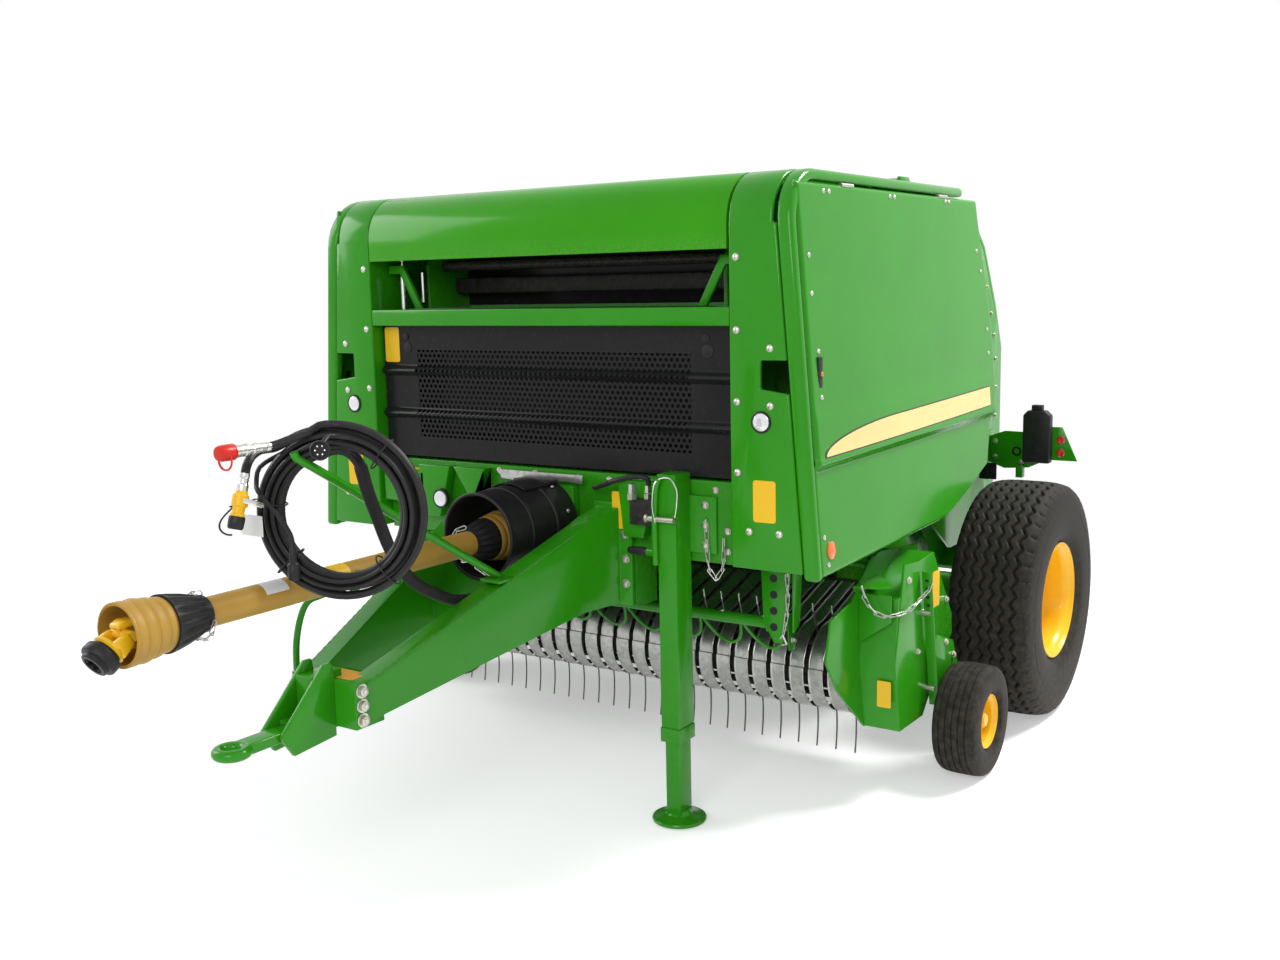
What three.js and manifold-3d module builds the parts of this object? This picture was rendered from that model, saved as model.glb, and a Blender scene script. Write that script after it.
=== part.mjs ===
// Round baler with a fixed roller chamber, parked on its jack: a towed farm machine.
// Units are millimetres, +Z is up, the drawbar points to -Y and the machine's left side is +X.
// Y = 0 is the front face of the fascia columns while the pieces are made; the finished group is
// moved along Y at the end so that the origin lies on the ground under the middle of the machine.

import * as THREE from 'three';
import { mergeVertices } from 'three/addons/utils/BufferGeometryUtils.js';
import Module from 'manifold-3d';

const wasm = await Module();
wasm.setup();

// ---------- driving dimensions ----------
const GAP = 0.3;                  // gap between pieces that touch
const RUN = 6;                    // clearance round anything that moves

// body
const COLUMN_INNER_X = 700;       // half width of the front opening
const BODY_TOP_Z = 1930;          // top of the rounded body edge
const BODY_LOW_Z = 790;           // lower edge of the side doors at the front
const SIDE_TOP_X = 890;           // half width of the body at the top of the doors
const SIDE_LEAN = 0.081;          // the sides lean out by this much for each unit down
const DOOR_TOP_Z = 1893;
const DOOR_FRONT_Y = 42;
const DOOR_REAR_Y = 1458;
const DOOR_BULGE = 90;            // how far the rear edge of a door bows out
const DOOR_THICK = 24;
const DOOR_SEAM = 5.5;
const DOOR_HINGE_X = SIDE_TOP_X - 4;
const DOOR_KNUCKLE_R = 6;
const DOOR_HINGE_Z = DOOR_TOP_Z + DOOR_SEAM - GAP - DOOR_KNUCKLE_R;
const RIM_WIDTH = 50;             // rounded edge between the fascia and a door
const RIM_CORNER_R = 150;         // its bend at the top front corner
const SHEET = 16;                 // wall of the fascia and roof covers with their folds
const FASCIA_LOW_Z = 808;
const RETURN_REAR_Y = 250;        // depth of the columns' inner returns
const HOOD_LOW_Z = 1714;
const HOOD_CORNER_R = 150;
const HOOD_DEPTH_Y = 470;
const HOOD_THICK = 22;
const HOOD_HINGE_Y = HOOD_DEPTH_Y + 5;
const HOOD_HINGE_Z = BODY_TOP_Z - 4;
const HOOD_KNUCKLE_R = 7;
const CROSS_BAR_LOW_Z = 1499;
const CROSS_BAR_TOP_Z = 1553;
const CROSS_BAR_DEPTH = 60;
const NET_PANEL_LOW_Z = 1056;
const NET_PANEL_THICK = 12;
const NET_PANEL_Y = 46;

// bulkhead, drawbar and hitch
const BULKHEAD_Y = 52;
const BULKHEAD_DEPTH = 120;
const BULKHEAD_LOW_Z = 800;
const BULKHEAD_TOP_Z = 1046;
const BEAM_TIP_X = 88;            // centre of a drawbar beam at the hitch box
const BEAM_TIP_Y = -890;
const BEAM_ROOT_X = 232;          // centre of a drawbar beam at the bulkhead
const BEAM_WIDTH = 60;
const BEAM_TIP_LOW_Z = 505;
const BEAM_TIP_TOP_Z = 612;
const BEAM_ROOT_LOW_Z = 645;
const BEAM_ROOT_TOP_Z = 915;
const FLANGE_INNER_X = 190;       // the flange plates on the bulkhead
const FLANGE_OUTER_X = 330;
const HITCH_PLATE_X = 44;         // outer face of a hitch plate
const HITCH_PLATE_THICK = 14;
const EYE_Y = -1230;
const EYE_Z = 512;
const EYE_BORE_R = 20;
const EYE_BAR_R = 15;

// drive shaft
const PTO_Z = 872;
const PTO_TUBE_R = 37;
const PTO_FRONT_Y = -1300;
const PTO_REAR_Y = -330;
const PTO_BELL_R = 76;
const PTO_SHAFT_R = 22;
const PTO_GUARD_R = 132;
const PTO_GUARD_FRONT_Y = -300;
const PTO_GUARD_WALL = 7;
const REST_R = 9;                 // rod that holds the shaft up when it is unhitched

// jack
const JACK_X = 506;
const JACK_Y = 2;
const JACK_TUBE_X = 62;
const JACK_TUBE_Y = 84;
const JACK_WALL = 5.6;
const JACK_LEG_X = 50;
const JACK_LEG_Y = 70;
const JACK_TOP_Z = 1070;
const JACK_TUBE_LOW_Z = 256;
const JACK_FOOT_R = 84;

// bale chamber and tailgate
const CHAMBER_Y = 1470;
const CHAMBER_Z = 1185;
const CHAMBER_INNER_X = 585;
const CHAMBER_PLATE = 12;
const WALL_FRONT_LOW_Z = 985;     // lower edge of the chamber's walls above the pickup
const ROOF_SEAM = 1;              // gap between the roof and the rounded edges
const ROLLER_R = 80;
const ROLLER_RING_R = 660;        // from the chamber's centre to a roller's centre
const TAILGATE_PIVOT_Y = 1500;
const TAILGATE_PIVOT_Z = BODY_TOP_Z + 16;
const TAILGATE_SIDE_X = 720;
const TAILGATE_REAR_Y = 2270;

// main wheels
const WHEEL_X = 1060;
const WHEEL_Y = 1554;
const TYRE_R = 434;
const TYRE_WIDTH = 304;
const RIM_FLANGE_R = 213;
const AXLE_R = 35;

// pickup
const REEL_Y = 585;
const REEL_Z = 371;
const BAND_R = 144;               // outside radius of the stripper bands
const TINE_PITCH = 68;
const TINE_GAPS = 26;
const BAND_WIDTH = 50;
const BAND_THICK = 4;
const TINE_R = 3;
const TINE_BAR_RING_R = 96;
const PICKUP_SIDE_X = 885;        // inner side plate of a pickup end guard
const PICKUP_GUARD_X = 1012;      // its outer plate
const PICKUP_PIVOT_Y = 905;
const PICKUP_PIVOT_Z = 690;
const WINDGUARD_Y = 330;
const WINDGUARD_Z = 560;
const WINDGUARD_TUBE_R = 19;
const WINDGUARD_HALF = 717;
const WINDGUARD_ARM_X = 640;
const WINDGUARD_PIVOT_Y = 566;
const WINDGUARD_PIVOT_Z = 722;
const FEEDER_Y = 1035;
const FEEDER_Z = 560;
const FEEDER_R = 118;

// gauge wheels
const GAUGE_X = 1124;
const GAUGE_Y = 828;
const GAUGE_R = 183;
const GAUGE_WIDTH = 148;
const GAUGE_RIM_R = 90;
const GAUGE_AXLE_R = 12;

// rear light carriers, on the tailgate
const CARRIER_Y = 2100;
const CARRIER_LOW_Z = 832;

// hose holder, and the hoses and cables wound on it
const HOLDER_R = 11;
const HOLDER_FOOT = [175, -415, 808];
const HOLDER_TIP = [100, -1044, 1212];
const COIL_CENTRE = [160, -982, 1080];
const COIL_R = 176;               // mean radius of the turns
const COIL_BUNDLE_R = 21;         // radius of the bundle of strands
const COIL_TURN = 63;             // degrees that the coil's plane is turned from facing -X
const SLEEVE_R = 17;
const HOSE_R = 8;
const CABLE_R = 4.5;

// ---------- materials ----------
const paint = (color, roughness, metalness = 0) => () =>
  new THREE.MeshStandardMaterial({ color, roughness, metalness });
const GREEN = paint(0x2a8a1c, 0.3);
const HOOD_GREEN = paint(0x3fa018, 0.28);
const YELLOW = paint(0xf5b414, 0.35);
const OCHRE = paint(0xcc9640, 0.5);
const BLACK_STEEL = paint(0x101010, 0.4, 0.3);
const BLACK_PLASTIC = paint(0x141414, 0.55);
const TYRE_RUBBER = paint(0x2b2926, 0.85);
const HOSE_RUBBER = paint(0x1a1917, 0.6);
const GALVANISED = paint(0xc3c4c0, 0.4, 0.8);
const RED_PLASTIC = paint(0xc0281c, 0.45);
const VALVE_YELLOW = paint(0xf0b400, 0.4);

// ---------- solids ----------
const toSolid = (geometry) => {
  const bare = geometry.index ? geometry.toNonIndexed() : geometry.clone();
  bare.deleteAttribute('normal');
  bare.deleteAttribute('uv');
  const merged = mergeVertices(bare, 1e-4);
  return new wasm.Manifold(new wasm.Mesh({
    numProp: 3,
    vertProperties: new Float32Array(merged.attributes.position.array),
    triVerts: new Uint32Array(merged.index.array),
  }));
};

const toGeometry = (solid) => {
  const mesh = solid.getMesh();
  const geometry = new THREE.BufferGeometry();
  geometry.setAttribute('position', new THREE.BufferAttribute(mesh.vertProperties, 3));
  geometry.setIndex(new THREE.BufferAttribute(mesh.triVerts, 1));
  return geometry;
};

const join = (...geometries) =>
  toGeometry(geometries.map(toSolid).reduce((whole, next) => whole.add(next)));
const cut = (geometry, ...tools) =>
  toGeometry(tools.map(toSolid).reduce((left, tool) => left.subtract(tool), toSolid(geometry)));

// A block given by its lowest and highest corners.
const block = (x0, x1, y0, y1, z0, z1) =>
  new THREE.BoxGeometry(x1 - x0, y1 - y0, z1 - z0)
    .translate((x0 + x1) / 2, (y0 + y1) / 2, (z0 + z1) / 2);

// Round bars along X, Y and Z.
const barX = (r, x0, x1, y, z, sides = 20) =>
  new THREE.CylinderGeometry(r, r, x1 - x0, sides).rotateZ(-Math.PI / 2)
    .translate((x0 + x1) / 2, y, z);
const barY = (r, y0, y1, x, z, sides = 20) =>
  new THREE.CylinderGeometry(r, r, y1 - y0, sides).translate(x, (y0 + y1) / 2, z);
const barZ = (r, z0, z1, x, y, sides = 20) =>
  new THREE.CylinderGeometry(r, r, z1 - z0, sides).rotateX(Math.PI / 2)
    .translate(x, y, (z0 + z1) / 2);

// A plate from an outline of [y, z] points, standing between two values of X.
const plateX = (outline, x0, x1) => {
  const shape = new THREE.Shape(outline.map(([y, z]) => new THREE.Vector2(y, z)));
  const geometry = new THREE.ExtrudeGeometry(shape, { depth: x1 - x0, bevelEnabled: false });
  // shape X becomes Y, shape Y becomes Z, depth becomes X
  const turn = new THREE.Matrix4().makeBasis(
    new THREE.Vector3(0, 1, 0), new THREE.Vector3(0, 0, 1), new THREE.Vector3(1, 0, 0));
  return geometry.applyMatrix4(turn).translate(x0, 0, 0);
};

// A plate from an outline of [x, y] points, lying between two heights.
const plateZ = (outline, z0, z1) => {
  const shape = new THREE.Shape(outline.map(([x, y]) => new THREE.Vector2(x, y)));
  return new THREE.ExtrudeGeometry(shape, { depth: z1 - z0, bevelEnabled: false })
    .translate(0, 0, z0);
};

// A plate from an outline of [x, z] points, standing between two values of Y.
const plateY = (outline, y0, y1) => {
  const shape = new THREE.Shape(outline.map(([x, z]) => new THREE.Vector2(x, z)));
  return new THREE.ExtrudeGeometry(shape, { depth: y1 - y0, bevelEnabled: false })
    .rotateX(Math.PI / 2).translate(0, y1, 0);
};

// A round rod or tube's outer shape along a smooth curve through points.
const rod = (points, r, steps, sides = 10) => {
  const path = new THREE.CatmullRomCurve3(
    points.map((point) => new THREE.Vector3(...point)), false, 'centripetal');
  return new THREE.ExtrudeGeometry(circle(r, sides), { steps, extrudePath: path });
};

// The same along straight lines, for a bar bent at its corners.
const straightRod = (a, b, r, sides = 10) => {
  const path = new THREE.LineCurve3(new THREE.Vector3(...a), new THREE.Vector3(...b));
  return new THREE.ExtrudeGeometry(circle(r, sides), { steps: 1, extrudePath: path });
};

const circle = (r, sides) => new THREE.Shape(
  Array.from({ length: sides }, (_, k) => {
    const turn = (2 * Math.PI * k) / sides;
    return new THREE.Vector2(r * Math.cos(turn), r * Math.sin(turn));
  }));

// A turned solid about Y from [radius, y] points in either order.
const turned = (profile, sides) => {
  const points = profile.map(([r, a]) => new THREE.Vector2(r, a));
  if (THREE.ShapeUtils.area(points) < 0) points.reverse();
  return new THREE.LatheGeometry(points, sides);
};

// The same about an axis along X, Y or Z through a point.
const turnedX = (profile, x, y, z, sides = 32) =>
  turned(profile, sides).rotateZ(-Math.PI / 2).translate(x, y, z);
const turnedY = (profile, x, y, z, sides = 32) => turned(profile, sides).translate(x, y, z);
const turnedZ = (profile, x, y, z, sides = 32) =>
  turned(profile, sides).rotateX(Math.PI / 2).translate(x, y, z);

const arc = (cy, cz, r, from, to, steps) =>
  Array.from({ length: steps + 1 }, (_, k) => {
    const turn = THREE.MathUtils.degToRad(from + ((to - from) * k) / steps);
    return [cy + r * Math.cos(turn), cz + r * Math.sin(turn)];
  });

// ---------- assembly ----------
const machine = new THREE.Group();

const add = (name, geometry, material) => {
  const mesh = new THREE.Mesh(geometry, material());
  mesh.name = name;
  machine.add(mesh);
  return mesh;
};

// The outer face of the body's side at a height.
const sideX = (z) => SIDE_TOP_X + SIDE_LEAN * (DOOR_TOP_Z - z);

// Turns a geometry to its mirror image across X = 0 and keeps its faces pointing out.
const mirrored = (geometry) => {
  const flat = geometry.index ? geometry.toNonIndexed() : geometry.clone();
  flat.scale(-1, 1, 1);
  const place = flat.attributes.position.array;
  for (let k = 0; k < place.length; k += 9) {
    for (let axis = 0; axis < 3; axis += 1) {
      const held = place[k + 3 + axis];
      place[k + 3 + axis] = place[k + 6 + axis];
      place[k + 6 + axis] = held;
    }
  }
  flat.deleteAttribute('normal');
  flat.deleteAttribute('uv');
  return mergeVertices(flat, 1e-4);
};

// Adds a piece on the machine's left (+X) and its mirror image on the right (-X).
const addPair = (name, geometry, material) => {
  add(`${name}_left`, geometry, material);
  add(`${name}_right`, mirrored(geometry), material);
};

// ---------- bulkhead: the box beam across the front that carries drawbar, jack and gearbox ----------
const bulkheadRearY = BULKHEAD_Y + BULKHEAD_DEPTH;
const gearboxHalf = 120;
const gearboxLowZ = PTO_Z - 59;
const gearboxTopZ = PTO_Z + 129;
const pocketX = 345;              // the open-backed pockets beside the gearbox start here
const bulkhead = cut(
  join(
    block(-COLUMN_INNER_X + 6, COLUMN_INNER_X - 6, BULKHEAD_Y, bulkheadRearY,
      BULKHEAD_LOW_Z, BULKHEAD_TOP_Z),
    // feet that reach down to the drawbar's flanges
    block(-FLANGE_OUTER_X, -FLANGE_INNER_X, BULKHEAD_Y, bulkheadRearY,
      BEAM_ROOT_LOW_Z - 15, BULKHEAD_LOW_Z + 10),
    block(FLANGE_INNER_X, FLANGE_OUTER_X, BULKHEAD_Y, bulkheadRearY,
      BEAM_ROOT_LOW_Z - 15, BULKHEAD_LOW_Z + 10)),
  block(-gearboxHalf - GAP, gearboxHalf + GAP, BULKHEAD_Y - 10, bulkheadRearY + 10,
    gearboxLowZ - GAP, gearboxTopZ + GAP),
  ...[-1, 1].map((side) => block(
    Math.min(side * pocketX, side * CHAMBER_INNER_X), Math.max(side * pocketX, side * CHAMBER_INNER_X),
    BULKHEAD_Y + SHEET, bulkheadRearY + 10, BULKHEAD_LOW_Z + 12, BULKHEAD_TOP_Z - 12)));
add('bulkhead', bulkhead, GREEN);

add('gearbox', join(
  block(-gearboxHalf, gearboxHalf, BULKHEAD_Y - 30, bulkheadRearY, gearboxLowZ, gearboxTopZ),
  barY(PTO_SHAFT_R, -150, BULKHEAD_Y - 20, 0, PTO_Z, 16)), BLACK_STEEL);

// ---------- drawbar: two tapering box beams in an A, bolted to the bulkhead by flange plates ----------
const flangeY = BULKHEAD_Y - GAP;
const flangeThick = 20;
const beamRootY = flangeY - flangeThick + 2;
const beamSide = (sign) => {
  const half = BEAM_WIDTH / 2;
  const outline = [
    [sign * (BEAM_TIP_X - half), BEAM_TIP_Y], [sign * (BEAM_TIP_X + half), BEAM_TIP_Y],
    [sign * (BEAM_ROOT_X + half), -130], [sign * (BEAM_ROOT_X + half + 24), beamRootY],
    [sign * (BEAM_ROOT_X - half), beamRootY], [sign * (BEAM_ROOT_X - half), -130],
  ];
  const ordered = sign > 0 ? outline : outline.reverse();
  const tall = plateZ(ordered, 300, 1100);
  // the beam's side view, deeper at the bulkhead
  const profile = plateX([
    [BEAM_TIP_Y - 1, BEAM_TIP_LOW_Z], [-130, BEAM_ROOT_LOW_Z],
    [beamRootY + 1, BEAM_ROOT_LOW_Z], [beamRootY + 1, BEAM_ROOT_TOP_Z + 30],
    [-70, BEAM_ROOT_TOP_Z + 10], [-130, BEAM_ROOT_TOP_Z - 10], [BEAM_TIP_Y - 1, BEAM_TIP_TOP_Z],
  ], -400, 400);
  return toSolid(tall).intersect(toSolid(profile));
};
const hitchBoxFrontY = -1015;
const hitchBoxHalf = 118;
const hitchBox = join(
  block(-hitchBoxHalf, hitchBoxHalf, BEAM_TIP_Y - 40, BEAM_TIP_Y + 60,
    BEAM_TIP_LOW_Z - 10, BEAM_TIP_TOP_Z + 8),
  block(-HITCH_PLATE_X + HITCH_PLATE_THICK + GAP, HITCH_PLATE_X - HITCH_PLATE_THICK - GAP,
    hitchBoxFrontY + 20, BEAM_TIP_Y, 486, 640));
const flange = (sign) => block(
  Math.min(sign * FLANGE_INNER_X, sign * FLANGE_OUTER_X),
  Math.max(sign * FLANGE_INNER_X, sign * FLANGE_OUTER_X),
  flangeY - flangeThick, flangeY, BEAM_ROOT_LOW_Z - 5, 960);
const drawbar = toGeometry([beamSide(1), beamSide(-1), toSolid(hitchBox), toSolid(flange(1)),
  toSolid(flange(-1)), toSolid(block(-215, 215, -330, -290, BEAM_ROOT_LOW_Z - 25, BEAM_ROOT_LOW_Z + 45))]
  .reduce((whole, next) => whole.add(next)));
add('drawbar', drawbar, GREEN);

// ---------- hitch: two plates bolted to the drawbar's nose, holding the towing eye ----------
const hitchOutline = [
  [-1073, 458], [-1112, 515], [-960, 668], [-935, 668], [BEAM_TIP_Y - 40 - GAP, 640],
  [BEAM_TIP_Y - 40 - GAP, 470],
];
const hitchPlate = plateX(hitchOutline, HITCH_PLATE_X - HITCH_PLATE_THICK, HITCH_PLATE_X);
const hitchPlateRight = plateX(hitchOutline, -HITCH_PLATE_X, -HITCH_PLATE_X + HITCH_PLATE_THICK);
add('hitch_plates', join(hitchPlate, hitchPlateRight,
  block(-HITCH_PLATE_X + 2, HITCH_PLATE_X - 2, -1052, -1012, 486, 534)), GREEN);
const eyeRing = new THREE.TorusGeometry(EYE_BORE_R + EYE_BAR_R, EYE_BAR_R, 8, 20)
  .translate(0, EYE_Y, EYE_Z);
add('towing_eye', cut(
  join(eyeRing, plateZ([
    [-20, -1052.3], [-20, -1120], [-30, EYE_Y + 30], [30, EYE_Y + 30], [20, -1120], [20, -1052.3],
  ].reverse(), EYE_Z - 12, EYE_Z + 14)),
  barZ(EYE_BORE_R, EYE_Z - 40, EYE_Z + 40, 0, EYE_Y, 20)), GREEN);

// ---------- fascia: two flared columns, the cross bar and the net guard panel between them ----------
const columnSeamX = (z) => sideX(z) - RIM_WIDTH;
const columnTopZ = 1780;
const notchLowZ = 1312;
const notchTopZ = 1404;
const columnFace = plateY([
  [COLUMN_INNER_X, FASCIA_LOW_Z], [columnSeamX(FASCIA_LOW_Z), FASCIA_LOW_Z],
  [columnSeamX(notchLowZ), notchLowZ], [797, notchLowZ + 12], [797, notchTopZ],
  [columnSeamX(notchTopZ), notchTopZ], [columnSeamX(columnTopZ), columnTopZ],
  [COLUMN_INNER_X, columnTopZ],
], 0, SHEET);
// the column's inner return, which runs back along the opening
const columnReturn = block(COLUMN_INNER_X, COLUMN_INNER_X + SHEET, SHEET - 2, RETURN_REAR_Y,
  FASCIA_LOW_Z, columnTopZ);
// the top bend follows the hood's curve
const bendProfile = (inset, endY) => [
  [0 + inset, columnTopZ],
  ...arc(HOOD_CORNER_R, BODY_TOP_Z - HOOD_CORNER_R, HOOD_CORNER_R - inset, 180, 90, 8),
  [endY, BODY_TOP_Z - inset],
];
const bendEndY = 330;
const bendOutline = (endY) => [...bendProfile(0, endY), ...bendProfile(SHEET, endY).reverse()];
const columnBend = plateX(bendOutline(bendEndY).reverse(), COLUMN_INNER_X, columnSeamX(BODY_TOP_Z));
const column = join(columnFace, columnReturn, columnBend);
addPair('fascia_column', column, GREEN);

add('cross_bar', block(-COLUMN_INNER_X + GAP, COLUMN_INNER_X - GAP, 2, CROSS_BAR_DEPTH,
  CROSS_BAR_LOW_Z, CROSS_BAR_TOP_Z), GREEN);
add('net_guard_panel', join(
  block(-COLUMN_INNER_X + GAP, COLUMN_INNER_X - GAP, NET_PANEL_Y, NET_PANEL_Y + NET_PANEL_THICK,
    NET_PANEL_LOW_Z, CROSS_BAR_LOW_Z - GAP),
  block(-COLUMN_INNER_X + 14, COLUMN_INNER_X - 14, NET_PANEL_Y, NET_PANEL_Y + 60,
    NET_PANEL_LOW_Z, NET_PANEL_LOW_Z + 14)), BLACK_STEEL);

// ---------- rounded edge round the front and top of each side ----------
// It follows the edge of the door opening and leans with the side.
const rimEndY = DOOR_REAR_Y - 130;
const rimOuterR = RIM_CORNER_R + 12;
const rimInnerR = RIM_CORNER_R - 14;
const rimLowZ = DOOR_TOP_Z + DOOR_SEAM;
const rimOutline = [
  [0, BODY_LOW_Z],
  ...arc(rimOuterR, BODY_TOP_Z - rimOuterR, rimOuterR, 180, 90, 8),
  [rimEndY, BODY_TOP_Z],
  [rimEndY, rimLowZ],
  ...arc(DOOR_FRONT_Y - DOOR_SEAM + rimInnerR, rimLowZ - rimInnerR, rimInnerR, 90, 180, 8),
  [DOOR_FRONT_Y - DOOR_SEAM, BODY_LOW_Z],
];
const leanOut = (geometry) => {
  // shears the piece outwards with the slope of the side
  const shear = new THREE.Matrix4().set(
    1, 0, -SIDE_LEAN, SIDE_LEAN * DOOR_TOP_Z, 0, 1, 0, 0, 0, 0, 1, 0, 0, 0, 0, 1);
  return geometry.applyMatrix4(shear);
};
const rim = leanOut(plateX(rimOutline.reverse(),
  SIDE_TOP_X - RIM_WIDTH + GAP, SIDE_TOP_X - 2));
addPair('body_rim', rim, GREEN);

// ---------- side doors, hinged along their top edge ----------
const doorOutline = [
  [DOOR_FRONT_Y, BODY_LOW_Z],
  [1070, BODY_LOW_Z + 22],
  ...arc(1210, BODY_LOW_Z - 30, 150, 158, 100, 5),
  [1400, 926], [DOOR_REAR_Y - 14, 931],
  [DOOR_REAR_Y + DOOR_BULGE * 0.7, 1180], [DOOR_REAR_Y + DOOR_BULGE, 1330],
  [DOOR_REAR_Y + DOOR_BULGE * 0.75, 1520], [DOOR_REAR_Y + 6, 1750],
  ...arc(DOOR_REAR_Y - 130, DOOR_TOP_Z - 130, 130, 5, 90, 6),
  ...arc(DOOR_FRONT_Y + 130, DOOR_TOP_Z - 130, 130, 90, 175, 6),
];
const knuckles = [[330, 410], [1090, 1170]].map(([y0, y1]) =>
  barY(DOOR_KNUCKLE_R, y0, y1, DOOR_HINGE_X, DOOR_HINGE_Z, 10));
const door = join(leanOut(plateX(doorOutline, SIDE_TOP_X - DOOR_THICK, SIDE_TOP_X)), ...knuckles);
addPair('side_door', door, GREEN);

// ---------- roof ----------
const roofFrontY = HOOD_HINGE_Y + HOOD_KNUCKLE_R + GAP;
const roofHalf = columnSeamX(BODY_TOP_Z) - ROOF_SEAM;
add('roof', join(
  block(-roofHalf, roofHalf, roofFrontY, DOOR_REAR_Y - 160, BODY_TOP_Z - SHEET, BODY_TOP_Z),
  block(-roofHalf, roofHalf, roofFrontY, roofFrontY + 40, BODY_TOP_Z - 60, BODY_TOP_Z - 2)),
GREEN);

// ---------- hood: the curved cover over the net box, hinged at its rear edge ----------
const hoodHalf = COLUMN_INNER_X - RUN;
const hoodProfile = (inset) => [
  [inset, HOOD_LOW_Z],
  ...arc(HOOD_CORNER_R, BODY_TOP_Z - HOOD_CORNER_R, HOOD_CORNER_R - inset, 180, 90, 8),
  [HOOD_DEPTH_Y, BODY_TOP_Z - inset],
];
const hoodKnuckle = (x) => barX(HOOD_KNUCKLE_R, x - 30, x + 30, HOOD_HINGE_Y, HOOD_HINGE_Z, 10);
add('hood', join(
  plateX([...hoodProfile(0), ...hoodProfile(HOOD_THICK).reverse()].reverse(), -hoodHalf, hoodHalf),
  hoodKnuckle(-480), hoodKnuckle(480)), HOOD_GREEN);

// ---------- bale chamber, front half: two side walls with rollers and cross members ----------
const wallOuterX = CHAMBER_INNER_X + CHAMBER_PLATE;
const chamberSplitY = CHAMBER_Y - 6;
const frontWall = [
  [bulkheadRearY + GAP, WALL_FRONT_LOW_Z], [620, WALL_FRONT_LOW_Z], [790, 800], [920, 640],
  [920, 440], [1240, 432],
  [chamberSplitY, CHAMBER_Z - ROLLER_RING_R - ROLLER_R - 15],
  [chamberSplitY, BODY_TOP_Z - 70], [bulkheadRearY + 170, BODY_TOP_Z - 70],
  [bulkheadRearY + GAP, 1700],
];
const rollerAt = (degrees) => {
  const turn = THREE.MathUtils.degToRad(degrees);
  const y = CHAMBER_Y + ROLLER_RING_R * Math.cos(turn);
  const z = CHAMBER_Z + ROLLER_RING_R * Math.sin(turn);
  return barX(ROLLER_R, -CHAMBER_INNER_X - 4, CHAMBER_INNER_X + 4, y, z, 10);
};
const frontRollers = [101, 118, 135, 152, 169, 186, 203, 218].map(rollerAt);
const webTopZ = BODY_TOP_Z - SHEET - GAP;
const railX = COLUMN_INNER_X + SHEET + GAP;
const railOuterX = COLUMN_INNER_X + 60;
// frames beside the chamber that carry the columns, the rims and the axles' plates
const sideFrame = (side) => [
  [wallOuterX - 4, railOuterX, 332, 372, WALL_FRONT_LOW_Z, 1860],
  [railX, railOuterX, SHEET + GAP, 340, WALL_FRONT_LOW_Z, WALL_FRONT_LOW_Z + 40],
  [railX, railOuterX, SHEET + GAP, 340, 1600, 1640],
  [wallOuterX - 4, railOuterX, 340, 1300, 1820, 1860],
  [railOuterX - 4, roofHalf, 900, 940, 1820, 1860],
  [railOuterX - 4, roofHalf, 340, 372, 1820, 1860],
].map(([x0, x1, ...rest]) => block(Math.min(side * x0, side * x1), Math.max(side * x0, side * x1),
  ...rest));
// brackets that hold the tailgate's ears, one outside each
const hingeBracket = (side) => [
  [[1300, 1840], [1440, 1840], [TAILGATE_PIVOT_Y + 40, TAILGATE_PIVOT_Z - 20],
    [TAILGATE_PIVOT_Y + 30, TAILGATE_PIVOT_Z + 34], [TAILGATE_PIVOT_Y - 26, TAILGATE_PIVOT_Z + 38],
    [1310, TAILGATE_PIVOT_Z - 24]],
].map((outline) => join(
  plateX(outline, side > 0 ? wallOuterX + GAP : -wallOuterX - GAP - CHAMBER_PLATE,
    side > 0 ? wallOuterX + GAP + CHAMBER_PLATE : -wallOuterX - GAP),
  block(side > 0 ? wallOuterX - 4 : -wallOuterX - 8, side > 0 ? wallOuterX + 8 : -wallOuterX + 4,
    1310, 1430, 1830, 1858)));
const chamberFront = join(
  plateX(frontWall, CHAMBER_INNER_X, wallOuterX),
  plateX(frontWall, -wallOuterX, -CHAMBER_INNER_X),
  ...frontRollers,
  rollerAt(256),
  // webs behind the bulkhead, under the roof and behind the net box
  block(-wallOuterX, wallOuterX, bulkheadRearY + GAP, bulkheadRearY + 30, WALL_FRONT_LOW_Z, 1040),
  block(-roofHalf, roofHalf, 1180, 1220, 1850, webTopZ),
  block(-roofHalf, roofHalf, 620, 660, 1850, webTopZ),
  block(-CHAMBER_INNER_X - 2, CHAMBER_INNER_X + 2, 380, 392, 1080, BODY_TOP_Z - 75),
  ...sideFrame(1), ...sideFrame(-1),
  ...hingeBracket(1), ...hingeBracket(-1));
add('chamber_front', chamberFront, GREEN);

// ---------- stub axles on strong plates outside the chamber walls ----------
const wheelInnerX = WHEEL_X - TYRE_WIDTH / 2;
const mainWheel = {
  width: TYRE_WIDTH - 40, flangeR: RIM_FLANGE_R, barrelOut: RIM_FLANGE_R - 20,
  barrelIn: RIM_FLANGE_R - 30, lip: 9, hubR: 62, boreR: AXLE_R + 1, capX: 26,
  hubOut: 40, hubIn: -60, discX: -18,
};
const axle = join(
  plateX([
    [1180, 520], [1300, 400], [1640, 370], [1700, 480], [1460, 760], [1200, 800],
  ], wallOuterX + RUN, wallOuterX + 60),
  block(wallOuterX + GAP, wallOuterX + RUN + 2, 1220, 1440, 480, 740),
  barX(AXLE_R, wallOuterX + 30, WHEEL_X + mainWheel.capX - GAP, WHEEL_Y, TYRE_R, 20),
  barX(AXLE_R + 26, wallOuterX + 30, wheelInnerX - 24, WHEEL_Y, TYRE_R, 20));
addPair('axle', axle, GREEN);

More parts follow.
